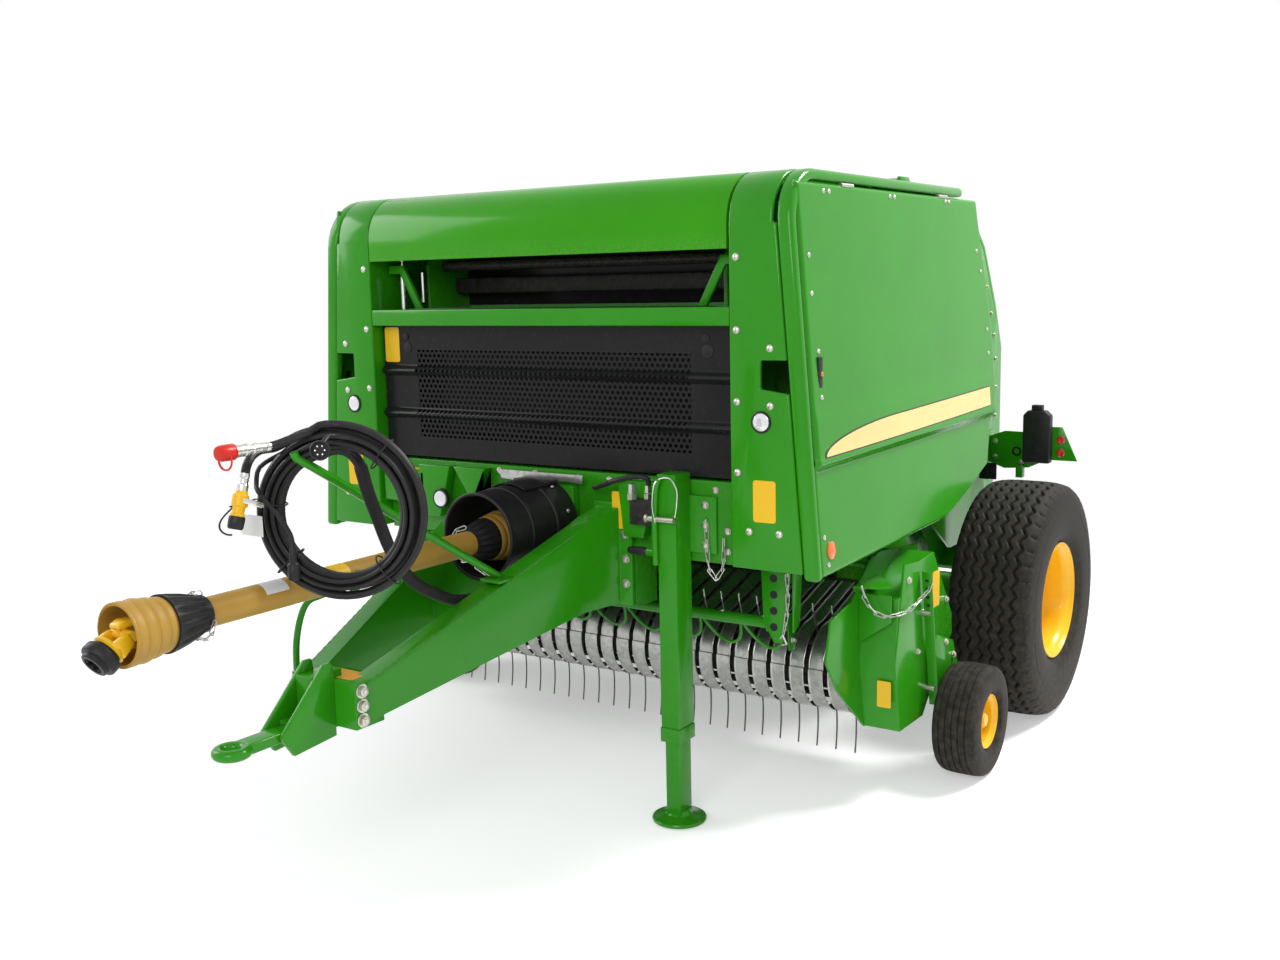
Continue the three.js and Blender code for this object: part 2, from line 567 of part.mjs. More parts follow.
// ---------- wheels: a dished steel rim and a tyre whose beads sit between its flanges ----------
const rimProfile = (w) => [
  [0, w.hubOut], [w.hubR, w.hubOut], [w.hubR, w.discX + 6], [w.barrelIn, w.discX + 6],
  [w.barrelIn, w.width / 2], [w.flangeR, w.width / 2], [w.flangeR, w.width / 2 - w.lip],
  [w.barrelOut, w.width / 2 - w.lip - 3], [w.barrelOut, -w.width / 2 + w.lip + 3],
  [w.flangeR, -w.width / 2 + w.lip], [w.flangeR, -w.width / 2], [w.barrelIn, -w.width / 2],
  [w.barrelIn, w.discX - 6], [w.hubR, w.discX - 6], [w.hubR, w.hubIn], [w.boreR, w.hubIn],
  [w.boreR, w.capX], [0, w.capX],
];
const tyreProfile = (w, tyreR, tyreWidth) => {
  const half = tyreWidth / 2;
  const bead = w.width / 2 - w.lip - 3.5;
  const rise = tyreR - w.flangeR;
  const side = [
    [w.barrelOut + GAP, bead], [w.flangeR + 1, bead + 3], [w.flangeR + 4, w.width / 2 + 2],
    [w.flangeR + 0.28 * rise, 0.96 * half], [w.flangeR + 0.56 * rise, half],
    [tyreR * 0.955, 0.9 * half], [tyreR * 0.985, 0.66 * half], [tyreR, 0.25 * half],
  ];
  const other = side.map(([r, x]) => [r, -x]).reverse();
  return [...side, ...other, side[0]];
};
addPair('main_rim', turnedX(rimProfile(mainWheel), WHEEL_X, WHEEL_Y, TYRE_R, 24), YELLOW);
addPair('main_tyre', turnedX(tyreProfile(mainWheel, TYRE_R, TYRE_WIDTH), WHEEL_X, WHEEL_Y, TYRE_R, 24),
  TYRE_RUBBER);

const gaugeWheel = {
  width: GAUGE_WIDTH - 26, flangeR: GAUGE_RIM_R, barrelOut: GAUGE_RIM_R - 11,
  barrelIn: GAUGE_RIM_R - 16, lip: 6, hubR: 24, boreR: GAUGE_AXLE_R + 1, capX: 44,
  hubOut: 52, hubIn: -40, discX: 14,
};
addPair('gauge_rim', turnedX(rimProfile(gaugeWheel), GAUGE_X, GAUGE_Y, GAUGE_R, 20), YELLOW);
addPair('gauge_tyre', turnedX(tyreProfile(gaugeWheel, GAUGE_R, GAUGE_WIDTH), GAUGE_X, GAUGE_Y, GAUGE_R,
  20), TYRE_RUBBER);

// ---------- jack: a square tube on the bulkhead with a leg that slides in it ----------
const tubeHalfX = JACK_TUBE_X / 2;
const tubeHalfY = JACK_TUBE_Y / 2;
const jackTube = join(
  cut(block(JACK_X - tubeHalfX, JACK_X + tubeHalfX, JACK_Y - tubeHalfY, JACK_Y + tubeHalfY,
    JACK_TUBE_LOW_Z, JACK_TOP_Z),
  block(JACK_X - tubeHalfX + JACK_WALL, JACK_X + tubeHalfX - JACK_WALL,
    JACK_Y - tubeHalfY + JACK_WALL, JACK_Y + tubeHalfY - JACK_WALL,
    JACK_TUBE_LOW_Z - 10, JACK_TOP_Z - 12)),
  block(JACK_X - 26, JACK_X + 120, JACK_Y + tubeHalfY - 2, BULKHEAD_Y - GAP, 830, 1000),
  barX(13, JACK_X - tubeHalfX - 62, JACK_X - tubeHalfX + 2, JACK_Y - 6, 826, 12));
add('jack_tube', jackTube, GREEN);
add('jack_leg', join(
  block(JACK_X - JACK_LEG_X / 2, JACK_X + JACK_LEG_X / 2, JACK_Y - JACK_LEG_Y / 2,
    JACK_Y + JACK_LEG_Y / 2, 14, JACK_TUBE_LOW_Z + 330),
  turnedZ([
    [0, 0], [JACK_FOOT_R - 6, 0], [JACK_FOOT_R, 5], [JACK_FOOT_R - 3, 12], [38, 22], [30, 34], [0, 34],
  ], JACK_X, JACK_Y, 0, 28)), GREEN);

// ---------- drive shaft: guard tube with its end cones, the turning yoke, and the input guard ----------
add('pto_guard', turnedY([
  [PTO_BELL_R - 6, PTO_FRONT_Y - 212], [PTO_BELL_R, PTO_FRONT_Y - 212],
  [PTO_BELL_R, PTO_FRONT_Y - 104], [PTO_BELL_R - 14, PTO_FRONT_Y - 92],
  [PTO_TUBE_R + 6, PTO_FRONT_Y], [PTO_TUBE_R, PTO_FRONT_Y + 30], [PTO_TUBE_R, PTO_REAR_Y],
  [PTO_BELL_R - 14, PTO_REAR_Y + 100], [PTO_BELL_R, PTO_REAR_Y + 110],
  [PTO_BELL_R, PTO_REAR_Y + 200], [PTO_BELL_R - 6, PTO_REAR_Y + 200],
  [PTO_BELL_R - 6, PTO_REAR_Y + 114], [PTO_BELL_R - 20, PTO_REAR_Y + 104],
  [PTO_TUBE_R - 5, PTO_REAR_Y + 6], [PTO_SHAFT_R + 6, PTO_REAR_Y + 2],
  [PTO_SHAFT_R + 6, PTO_FRONT_Y - 4], [PTO_TUBE_R, PTO_FRONT_Y - 8],
  [PTO_BELL_R - 20, PTO_FRONT_Y - 96], [PTO_BELL_R - 6, PTO_FRONT_Y - 104],
  [PTO_BELL_R - 6, PTO_FRONT_Y - 212],
], 0, 0, PTO_Z, 20), OCHRE);
const yokeCollar = turnedY([
  [0, 0], [30, 0], [30, -44], [44, -50], [44, -72], [32, -76], [32, -84], [0, -84],
], 0, 0, 0, 20).rotateX(THREE.MathUtils.degToRad(-33))
  .translate(0, PTO_FRONT_Y - 208, PTO_Z - 22);
add('pto_shaft', join(
  barY(PTO_SHAFT_R, PTO_FRONT_Y - 180, -150 - GAP, 0, PTO_Z, 16),
  block(-34, 34, PTO_FRONT_Y - 222, PTO_FRONT_Y - 160, PTO_Z - 16, PTO_Z + 16),
  block(-16, 16, PTO_FRONT_Y - 232, PTO_FRONT_Y - 170, PTO_Z - 42, PTO_Z + 26),
  yokeCollar), YELLOW);
const inputGuard = turnedY([
  [PTO_GUARD_R, PTO_GUARD_FRONT_Y], [PTO_GUARD_R + 4, 0], [PTO_GUARD_R + 4, BULKHEAD_Y - 30 - GAP],
  [PTO_GUARD_R - PTO_GUARD_WALL, BULKHEAD_Y - 30 - GAP], [PTO_GUARD_R - PTO_GUARD_WALL, PTO_GUARD_FRONT_Y],
  [PTO_GUARD_R, PTO_GUARD_FRONT_Y],
], 0, 0, PTO_Z + 12, 24);
add('input_guard', join(inputGuard,
  block(-70, 70, -40, BULKHEAD_Y - 30 - GAP, PTO_Z + 12 + PTO_GUARD_R - PTO_GUARD_WALL,
    PTO_Z + 12 + PTO_GUARD_R + 6),
  cut(block(-PTO_GUARD_R, PTO_GUARD_R, BULKHEAD_Y - 38, BULKHEAD_Y - 30 - GAP, PTO_Z - 110, PTO_Z + 134),
    barY(60, BULKHEAD_Y - 60, BULKHEAD_Y, 0, PTO_Z))), BLACK_PLASTIC);
// a bent rod welded beside the hitch box, whose end cradles the shaft's guard tube
const cradleR = PTO_TUBE_R + REST_R + GAP + 3;
const restX = -hitchBoxHalf - REST_R - GAP;
add('shaft_rest', rod([
  [restX, -905, 540], [restX, -900, 690], [restX + 6, -868, 785], [-84, -842, 812],
  ...arc(0, PTO_Z, cradleR, 235, 350, 4).map(([x, z]) => [x, -832, z]),
  [cradleR + 3, -832, PTO_Z + 20],
], REST_R, 16, 8), GREEN);

// ---------- hose holder: a bar from the left beam of the drawbar, turned up at its end ----------
const beamTopZ = (y) => BEAM_TIP_TOP_Z + ((y - BEAM_TIP_Y) / (-130 - BEAM_TIP_Y))
  * (BEAM_ROOT_TOP_Z - 10 - BEAM_TIP_TOP_Z);
const holderFootY = [HOLDER_FOOT[1] - 28, HOLDER_FOOT[1] + 28];
const holderFoot = plateX([
  ...holderFootY.map((y) => [y, beamTopZ(y) + GAP]),
  ...holderFootY.map((y) => [y, beamTopZ(y) + 14]).reverse(),
], HOLDER_FOOT[0] - 20, HOLDER_FOOT[0] + 20);
add('hose_holder', join(
  holderFoot,
  straightRod(HOLDER_FOOT, HOLDER_TIP, HOLDER_R, 8),
  straightRod(HOLDER_TIP.map((place, axis) => place + [0, 4, -5][axis]),
    [HOLDER_TIP[0] - 4, HOLDER_TIP[1] - 20, HOLDER_TIP[2] + 24], HOLDER_R - 1, 8)), GREEN);

// ---------- hoses and cables: a sleeve from the bulkhead to one coil, and four tails ----------
const coilRing = (bundleR) => {
  const sides = 8;
  const ring = Array.from({ length: sides + 1 }, (_, k) => {
    const turn = (2 * Math.PI * (k % sides)) / sides;
    return [COIL_R + bundleR * Math.cos(turn), bundleR * Math.sin(turn)];
  });
  return turned(ring, 28).rotateZ(THREE.MathUtils.degToRad(90 - COIL_TURN))
    .translate(...COIL_CENTRE);
};
add('hose_coil', coilRing(COIL_BUNDLE_R), HOSE_RUBBER);

// A tube along its route, cut back to a small gap from the coil where it meets it.
const cordTube = (route, r, steps) => cut(rod(route, r, steps, 8), coilRing(COIL_BUNDLE_R + GAP));
// A point inside the coil's bundle, by its angle round the coil from the front.
const onCoil = (degrees) => {
  const turn = THREE.MathUtils.degToRad(degrees);
  const plane = THREE.MathUtils.degToRad(COIL_TURN);
  return [
    COIL_CENTRE[0] - COIL_R * Math.cos(turn) * Math.sin(plane),
    COIL_CENTRE[1] - COIL_R * Math.cos(turn) * Math.cos(plane),
    COIL_CENTRE[2] + COIL_R * Math.sin(turn),
  ];
};
// A point on the line from one point to another, 0 at the first and 1 at the second.
const between = (from, to, along) => from.map((place, axis) => place + along * (to[axis] - place));

const sleeveRoute = [
  [168, BULKHEAD_Y - GAP, 862], [168, -40, 862], [166, -130, 838], [154, -230, 796],
  [132, -330, 762], [114, -430, 742], [106, -520, 752], [106, -600, 786], [112, -680, 832],
  [126, -750, 890], [146, -810, 960], [164, -860, 1040], [178, -905, 1120], [188, -935, 1190],
  onCoil(104),
];
add('hose_sleeve', cordTube(sleeveRoute, SLEEVE_R, 24), HOSE_RUBBER);

// hydraulic hose with a capped coupler
const couplerBack = [90, -1137, 1257];
add('hose_a', cordTube([
  onCoil(75), [120, -1030, 1266], [118, -1070, 1272], [98, -1112, 1262],
  [90, -1130, 1257], couplerBack,
], HOSE_R, 10), HOSE_RUBBER);
add('hose_a_coupler', turnedY([
  [0, -GAP], [11, -GAP], [13, -20], [13, -62], [18, -64], [18, -104], [20, -106], [20, -145], [0, -145],
], ...couplerBack, 12), RED_PLASTIC);

// hydraulic hose with a ball valve
const valveTop = [50, -1176, 1192];
const valveLow = [50, -1216, 1066];
add('hose_b', cordTube([
  onCoil(50), [44, -1062, 1238], [36, -1100, 1248], [38, -1145, 1234],
  between(valveTop, valveLow, -0.08), valveTop,
], HOSE_R, 14), HOSE_RUBBER);
add('hose_b_valve', join(
  straightRod(between(valveTop, valveLow, 0.004), between(valveTop, valveLow, 1), 13, 10),
  straightRod(between(valveTop, valveLow, 0.34), between(valveTop, valveLow, 0.72), 20, 10),
  block(66, 74, -1222, -1164, 1116, 1134)), VALVE_YELLOW);

// light cable with its round connector
const connectorBack = [205, -1077, 1248];
const connectorFront = [244, -1114, 1254];
add('light_cable', cordTube([
  onCoil(96), [184, -1000, 1268], [191, -1030, 1280], [198, -1056, 1270],
  between(connectorBack, connectorFront, -0.12), connectorBack,
], CABLE_R, 14), HOSE_RUBBER);
add('light_connector', straightRod(between(connectorBack, connectorFront, 0.008), connectorFront,
  25, 14), BLACK_PLASTIC);

// control cable with a plug that hangs from it
const plugTop = [80, -1072, 1016];
add('control_cable', cordTube([
  onCoil(20), [4, -1078, 1158], [16, -1104, 1166], [48, -1110, 1140], [74, -1092, 1085],
  [80, -1073, 1026], plugTop,
], CABLE_R, 16), HOSE_RUBBER);
add('control_plug', join(
  barZ(9, plugTop[2] - 30, plugTop[2] - 1, plugTop[0], plugTop[1], 10),
  barZ(15, plugTop[2] - 98, plugTop[2] - 28, plugTop[0], plugTop[1], 12)), BLACK_PLASTIC);

// ---------- pickup: frame with stripper bands, reel, windguard, end guards and gauge wheels ----------
const gapX = (k) => (k - (TINE_GAPS - 1) / 2) * TINE_PITCH;
const bandTail = [REEL_Y + 250, REEL_Z + 222];
const bandOutline = [
  bandTail, ...arc(REEL_Y, REEL_Z, BAND_R, 90, 270, 6), [REEL_Y + 40, REEL_Z - BAND_R],
  [REEL_Y + 40, REEL_Z - BAND_R + BAND_THICK],
  ...arc(REEL_Y, REEL_Z, BAND_R - BAND_THICK, 270, 90, 6), [bandTail[0], bandTail[1] - BAND_THICK],
];
const pickupHalf = PICKUP_SIDE_X - GAP;
const bands = Array.from({ length: TINE_GAPS + 1 }, (_, k) => {
  const middle = gapX(k) - TINE_PITCH / 2;
  return plateX(bandOutline, Math.max(middle - BAND_WIDTH / 2, -pickupHalf),
    Math.min(middle + BAND_WIDTH / 2, pickupHalf));
});
add('stripper_bands', join(
  ...bands,
  block(-pickupHalf, pickupHalf, bandTail[0] - 4, bandTail[0] + 46, bandTail[1] - 32, bandTail[1] - 1)),
GALVANISED);

const tineRow = (barY0, barZ0, tipY, tipZ) => {
  const row = [toSolid(barX(12, -pickupHalf + 20, pickupHalf - 20, barY0, barZ0, 6))];
  for (let k = 0; k < TINE_GAPS; k += 1) {
    row.push(toSolid(straightRod([gapX(k), barY0, barZ0], [gapX(k), tipY, tipZ], TINE_R, 4)));
  }
  return row;
};
const onRing = (degrees) => {
  const turn = THREE.MathUtils.degToRad(degrees);
  return [REEL_Y + TINE_BAR_RING_R * Math.cos(turn), REEL_Z + TINE_BAR_RING_R * Math.sin(turn)];
};
const reelDisc = (x) => barX(TINE_BAR_RING_R + 16, x, x + 5, REEL_Y, REEL_Z, 16);
const reel = toGeometry([
  toSolid(barX(30, -pickupHalf, pickupHalf, REEL_Y, REEL_Z, 12)),
  ...tineRow(...onRing(240), REEL_Y - 62, REEL_Z - 262),
  ...tineRow(...onRing(120), REEL_Y - 92, REEL_Z + 226),
  ...tineRow(...onRing(0), REEL_Y + 196, REEL_Z - 120),
  toSolid(reelDisc(-pickupHalf + 22)), toSolid(reelDisc(pickupHalf - 27)),
].reduce((whole, next) => whole.add(next)));
add('pickup_reel', reel, BLACK_STEEL);

// end guards: an inner side plate whose front is a flared deflector, a box and an outer plate
const innerPlate = plateX([
  [224, 492], [258, 613], [398, 640], [531, 744], [620, 760], [PICKUP_PIVOT_Y + 30, 730],
  [PICKUP_PIVOT_Y + 30, 640], [REEL_Y + 260, 420], [REEL_Y + 150, 230], [498, 214], [300, 385],
], PICKUP_SIDE_X, PICKUP_SIDE_X + 8);
const guardRear = [[770, 742], [940, 500], [944, 430], [840, 360], [690, 214], [500, 216]];
// its top is low enough for the door's lower edge to pass when the pickup is raised
const guardBox = plateX([[462, 438], [490, 640], ...guardRear], PICKUP_SIDE_X + 6, PICKUP_GUARD_X - 4);
const outerPlate = plateX([[462, 438], [531, 744], [640, 735], ...guardRear],
  PICKUP_GUARD_X - 8, PICKUP_GUARD_X);
// the pin on which the whole pickup swings, reaching the chamber's wall
const pivotPin = barX(18, wallOuterX + GAP, PICKUP_SIDE_X + 4, PICKUP_PIVOT_Y, PICKUP_PIVOT_Z, 12);
addPair('pickup_guard', join(innerPlate, guardBox, outerPlate, pivotPin), GREEN);

// gauge wheel arms
addPair('gauge_arm', join(
  plateX([
    [700, 430], [760, 470], [900, 420], [960, 300], [870, 150], [800, 150], [790, 220],
  ], PICKUP_GUARD_X + GAP, PICKUP_GUARD_X + 22),
  barX(GAUGE_AXLE_R, PICKUP_GUARD_X + 12, GAUGE_X + gaugeWheel.capX - GAP, GAUGE_Y, GAUGE_R, 12)),
GREEN);

// windguard: a round tube across the pickup on two arms that swing on pins in the end guards
const windguardArm = [
  [WINDGUARD_Y - 16, WINDGUARD_Z - 26], [WINDGUARD_Y + 22, WINDGUARD_Z - 22],
  [WINDGUARD_Y + 80, WINDGUARD_Z + 70], [WINDGUARD_PIVOT_Y + 16, WINDGUARD_PIVOT_Z - 14],
  [WINDGUARD_PIVOT_Y + 12, WINDGUARD_PIVOT_Z + 18], [WINDGUARD_PIVOT_Y - 20, WINDGUARD_PIVOT_Z + 18],
  [WINDGUARD_Y + 20, WINDGUARD_Z + 90], [WINDGUARD_Y - 20, WINDGUARD_Z + 10],
];
const windguardPin = barX(9, WINDGUARD_ARM_X + 4, PICKUP_SIDE_X - GAP, WINDGUARD_PIVOT_Y,
  WINDGUARD_PIVOT_Z, 10);
const windguardSide = join(plateX(windguardArm, WINDGUARD_ARM_X, WINDGUARD_ARM_X + 10), windguardPin);
add('windguard', join(
  barX(WINDGUARD_TUBE_R, -WINDGUARD_HALF, WINDGUARD_HALF, WINDGUARD_Y, WINDGUARD_Z, 14),
  windguardSide, mirrored(windguardSide)), GREEN);

// feeder rotor between pickup and chamber
const feederStars = [];
for (let x = -450; x <= 450; x += 150) {
  const star = Array.from({ length: 8 }, (_, k) => {
    const turn = (k * Math.PI) / 4;
    const r = k % 2 ? 58 : FEEDER_R;
    return [FEEDER_Y + r * Math.cos(turn), FEEDER_Z + r * Math.sin(turn)];
  });
  feederStars.push(plateX(star, x - 5, x + 5));
}
add('feeder_rotor', join(
  barX(56, -CHAMBER_INNER_X + RUN, CHAMBER_INNER_X - RUN, FEEDER_Y, FEEDER_Z, 12),
  barX(24, -CHAMBER_INNER_X + GAP, CHAMBER_INNER_X - GAP, FEEDER_Y, FEEDER_Z, 10),
  ...feederStars), BLACK_STEEL);

// ---------- tailgate: rear half of the chamber, hinged at the top ----------
const tailOuter = [
  [CHAMBER_Y + 6, BODY_TOP_Z - 80], [TAILGATE_PIVOT_Y + 60, BODY_TOP_Z - 20],
  [1850, BODY_TOP_Z - 50], [2030, BODY_TOP_Z - 200], [2170, 1500], [TAILGATE_REAR_Y - 40, 1320],
  [TAILGATE_REAR_Y - 30, 940], [2120, 640], [1900, 440], [1640, 388], [CHAMBER_Y + 6, 388],
];
const tailRollers = [79, 60, 41, 22, 3, -16, -35, -54, -73].map(rollerAt);
const tailSkinOutline = [
  [TAILGATE_PIVOT_Y + 62, BODY_TOP_Z - 20], [1860, BODY_TOP_Z - 38], [2044, BODY_TOP_Z - 190], [2190, 1506],
  [TAILGATE_REAR_Y, 1326], [TAILGATE_REAR_Y, 936], [2140, 622], [1910, 424],
  [1900, 440], [2120, 640], [TAILGATE_REAR_Y - 30, 940], [TAILGATE_REAR_Y - 40, 1320],
  [2170, 1500], [2030, BODY_TOP_Z - 200], [1850, BODY_TOP_Z - 50],
  [TAILGATE_PIVOT_Y + 60, BODY_TOP_Z - 34],
];
const tailSide = [
  [CHAMBER_Y + 6, BODY_TOP_Z - 110], [TAILGATE_PIVOT_Y + 60, BODY_TOP_Z - 24],
  [1850, BODY_TOP_Z - 54], [2030, BODY_TOP_Z - 204], [2170, 1496], [TAILGATE_REAR_Y - 36, 1320],
  [TAILGATE_REAR_Y - 26, 940], [2120, 636], [1960, 560], [1700, 560], [CHAMBER_Y + 6, 700],
];
const tailgate = join(
  plateX(tailSide, TAILGATE_SIDE_X - CHAMBER_PLATE, TAILGATE_SIDE_X),
  plateX(tailSide, -TAILGATE_SIDE_X, -TAILGATE_SIDE_X + CHAMBER_PLATE),
  plateX(tailOuter, CHAMBER_INNER_X, wallOuterX),
  plateX(tailOuter, -wallOuterX, -CHAMBER_INNER_X),
  ...tailRollers,
  plateX(tailSkinOutline, -TAILGATE_SIDE_X, TAILGATE_SIDE_X),
  ...[-1, 1].map((sign) => plateX([
    [TAILGATE_PIVOT_Y - 40, TAILGATE_PIVOT_Z + 50], [TAILGATE_PIVOT_Y + 44, TAILGATE_PIVOT_Z + 50],
    [TAILGATE_PIVOT_Y + 120, BODY_TOP_Z - 110], [TAILGATE_PIVOT_Y + 10, BODY_TOP_Z - 110],
    [TAILGATE_PIVOT_Y - 44, TAILGATE_PIVOT_Z - 34],
  ], sign > 0 ? CHAMBER_INNER_X : -CHAMBER_INNER_X - CHAMBER_PLATE,
  sign > 0 ? CHAMBER_INNER_X + CHAMBER_PLATE : -CHAMBER_INNER_X)));
add('tailgate', tailgate, GREEN);

// rear light carriers: a plate out from the tailgate's side with a lamp box and a reflector plate
addPair('light_carrier', join(
  block(TAILGATE_SIDE_X + GAP, 1000, CARRIER_Y, CARRIER_Y + 8, CARRIER_LOW_Z, CARRIER_LOW_Z + 156),
  block(TAILGATE_SIDE_X + GAP, TAILGATE_SIDE_X + 14, CARRIER_Y - 60, CARRIER_Y + 60, CARRIER_LOW_Z,
    CARRIER_LOW_Z + 156),
  block(884, 998, CARRIER_Y - 44, CARRIER_Y + 2, CARRIER_LOW_Z + 32, CARRIER_LOW_Z + 272),
  plateY([[994, CARRIER_LOW_Z + 44], [1096, CARRIER_LOW_Z + 44], [1034, CARRIER_LOW_Z + 180],
    [994, CARRIER_LOW_Z + 180]], CARRIER_Y, CARRIER_Y + 8)), GREEN);

// the origin lies under the middle of the machine's length
const whole = new THREE.Box3().setFromObject(machine);
machine.position.y = -(whole.min.y + whole.max.y) / 2;

export default machine;
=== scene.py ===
"""Round baler, parked on its jack.

The frame holds every solid at its place, and each section here finishes one piece of the machine:
the hoses first, then the machine from its front to its rear and from its paint to its smallest bolts.
Lengths are metres, +Z is up, the drawbar points to -Y and the machine's left side is +X.
"""

import math

import bpy
from mathutils import Matrix, Vector


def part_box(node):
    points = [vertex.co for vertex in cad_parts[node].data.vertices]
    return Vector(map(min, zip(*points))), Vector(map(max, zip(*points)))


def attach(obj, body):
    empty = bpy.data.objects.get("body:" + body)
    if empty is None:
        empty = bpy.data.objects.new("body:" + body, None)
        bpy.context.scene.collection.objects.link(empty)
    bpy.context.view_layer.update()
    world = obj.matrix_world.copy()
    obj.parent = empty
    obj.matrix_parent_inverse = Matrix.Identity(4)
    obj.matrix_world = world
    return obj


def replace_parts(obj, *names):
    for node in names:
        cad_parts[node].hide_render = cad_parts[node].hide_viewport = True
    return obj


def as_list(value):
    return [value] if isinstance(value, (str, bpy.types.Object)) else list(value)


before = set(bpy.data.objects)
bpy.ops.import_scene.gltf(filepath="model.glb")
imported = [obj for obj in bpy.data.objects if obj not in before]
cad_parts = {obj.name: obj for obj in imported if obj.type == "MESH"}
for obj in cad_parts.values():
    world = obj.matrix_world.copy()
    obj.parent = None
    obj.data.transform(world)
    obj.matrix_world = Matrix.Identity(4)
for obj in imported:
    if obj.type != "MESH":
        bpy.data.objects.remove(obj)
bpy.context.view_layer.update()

# ---------- Camera, light and floor ----------
# A standing person's view of the left front corner, in a plain white studio: one large soft lamp
# high on the right, weaker ones from the front and the left, and a pale floor that keeps a shadow.

scene = bpy.context.scene
front_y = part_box("fascia_column_left")[0][1]


def at(x, y, z):
    """A place measured along Y from the front face of the fascia columns."""
    return Vector((x, front_y + y, z))


def camera_turn(heading, pitch, roll):
    """The camera's turn from its heading, its dip below level and its lean, in degrees."""
    a, e, r = (math.radians(angle) for angle in (heading, pitch, roll))
    ahead = Vector((-math.sin(a) * math.cos(e), math.cos(a) * math.cos(e), -math.sin(e)))
    right = Vector((math.cos(a), math.sin(a), 0))
    up = right.cross(ahead)
    side = right * math.cos(r) + up * math.sin(r)
    top = up * math.cos(r) - right * math.sin(r)
    return Matrix((side, top, -ahead)).transposed()


camera_data = bpy.data.cameras.new("studio_camera")
camera_data.sensor_width = 36
camera_data.lens = 36.607
camera = bpy.data.objects.new("studio_camera", camera_data)
camera.matrix_world = (Matrix.Translation(at(2.54244, -3.18937, 1.62091))
    @ camera_turn(34.0385, 8.5605, -1.2238).to_4x4())
scene.collection.objects.link(camera)
scene.camera = camera
scene.view_settings.view_transform = "Standard"


def soft_lamp(name, place, target, size, power):
    """A square soft box that looks at a target."""
    lamp = bpy.data.lights.new(name, "AREA")
    lamp.shape = "SQUARE"
    lamp.size = size
    lamp.energy = power
    holder = bpy.data.objects.new(name, lamp)
    holder.location = place
    holder.rotation_euler = (Vector(target) - Vector(place)).to_track_quat("-Z", "Y").to_euler()
    scene.collection.objects.link(holder)


soft_lamp("key_lamp", (3.4, 3.6, 5.8), (0.0, -0.2, 0.6), 2.0, 480)
soft_lamp("front_lamp", (2.4, -6.4, 3.8), (0, -0.4, 0.8), 3.0, 170)
soft_lamp("side_lamp", (-5.0, -2.0, 3.6), (0, 0, 0.9), 3.0, 120)

world = bpy.data.worlds.new("studio")
scene.world = world
world.use_nodes = True
sky = world.node_tree
sky.nodes.clear()


def link(tree, out_socket, in_socket):
    tree.links.new(out_socket, in_socket)


def backdrop_switch(tree, lit, seen):
    """Mixes what lights the machine with what the camera, gloss and glass see behind it."""
    path = tree.nodes.new("ShaderNodeLightPath")
    rays = path.outputs["Is Camera Ray"]
    for kind in ("Is Glossy Ray", "Is Transmission Ray"):
        either = tree.nodes.new("ShaderNodeMath")
        either.operation = "MAXIMUM"
        link(tree, rays, either.inputs[0])
        link(tree, path.outputs[kind], either.inputs[1])
        rays = either.outputs[0]
    mix = tree.nodes.new("ShaderNodeMixShader")
    link(tree, rays, mix.inputs[0])
    link(tree, lit, mix.inputs[1])
    link(tree, seen, mix.inputs[2])
    return mix.outputs[0]


dome_light = sky.nodes.new("ShaderNodeBackground")
dome_light.inputs["Color"].default_value = (0.96, 0.98, 1.0, 1)
dome_light.inputs["Strength"].default_value = 0.46
white = sky.nodes.new("ShaderNodeBackground")
white.inputs["Color"].default_value = (1, 1, 1, 1)
white.inputs["Strength"].default_value = 1.0
sky_output = sky.nodes.new("ShaderNodeOutputWorld")
link(sky, backdrop_switch(sky, dome_light.outputs[0], white.outputs[0]), sky_output.inputs[0])

bpy.ops.mesh.primitive_plane_add(size=60, location=(0, 0, -0.002))
floor = bpy.context.object
floor.name = "floor"
floor_paint = bpy.data.materials.new("floor_white")
floor_paint.use_nodes = True
ground = floor_paint.node_tree
ground.nodes.clear()
floor_matt = ground.nodes.new("ShaderNodeBsdfDiffuse")
floor_matt.inputs["Color"].default_value = (0.86, 0.86, 0.86, 1)
floor_glow = ground.nodes.new("ShaderNodeEmission")
floor_glow.inputs["Color"].default_value = (1, 1, 1, 1)
floor_glow.inputs["Strength"].default_value = 0.40
floor_sum = ground.nodes.new("ShaderNodeAddShader")
link(ground, floor_matt.outputs[0], floor_sum.inputs[0])
link(ground, floor_glow.outputs[0], floor_sum.inputs[1])
floor_far = ground.nodes.new("ShaderNodeEmission")
floor_far.inputs["Color"].default_value = (1, 1, 1, 1)
floor_far.inputs["Strength"].default_value = 1.0
floor_place = ground.nodes.new("ShaderNodeTexCoord").outputs["Object"]
floor_distance = ground.nodes.new("ShaderNodeVectorMath")
floor_distance.operation = "LENGTH"
link(ground, floor_place, floor_distance.inputs[0])
floor_fade = ground.nodes.new("ShaderNodeMapRange")
floor_fade.inputs["From Min"].default_value = 2.6
floor_fade.inputs["From Max"].default_value = 5.5
floor_fade.interpolation_type = "SMOOTHSTEP"
link(ground, floor_distance.outputs["Value"], floor_fade.inputs["Value"])
floor_seen = ground.nodes.new("ShaderNodeMixShader")
link(ground, floor_fade.outputs["Result"], floor_seen.inputs[0])
link(ground, floor_sum.outputs[0], floor_seen.inputs[1])
link(ground, floor_far.outputs[0], floor_seen.inputs[2])
floor_output = ground.nodes.new("ShaderNodeOutputMaterial")
link(ground, backdrop_switch(ground, floor_matt.outputs[0], floor_seen.outputs[0]),
    floor_output.inputs["Surface"])
floor.data.materials.append(floor_paint)

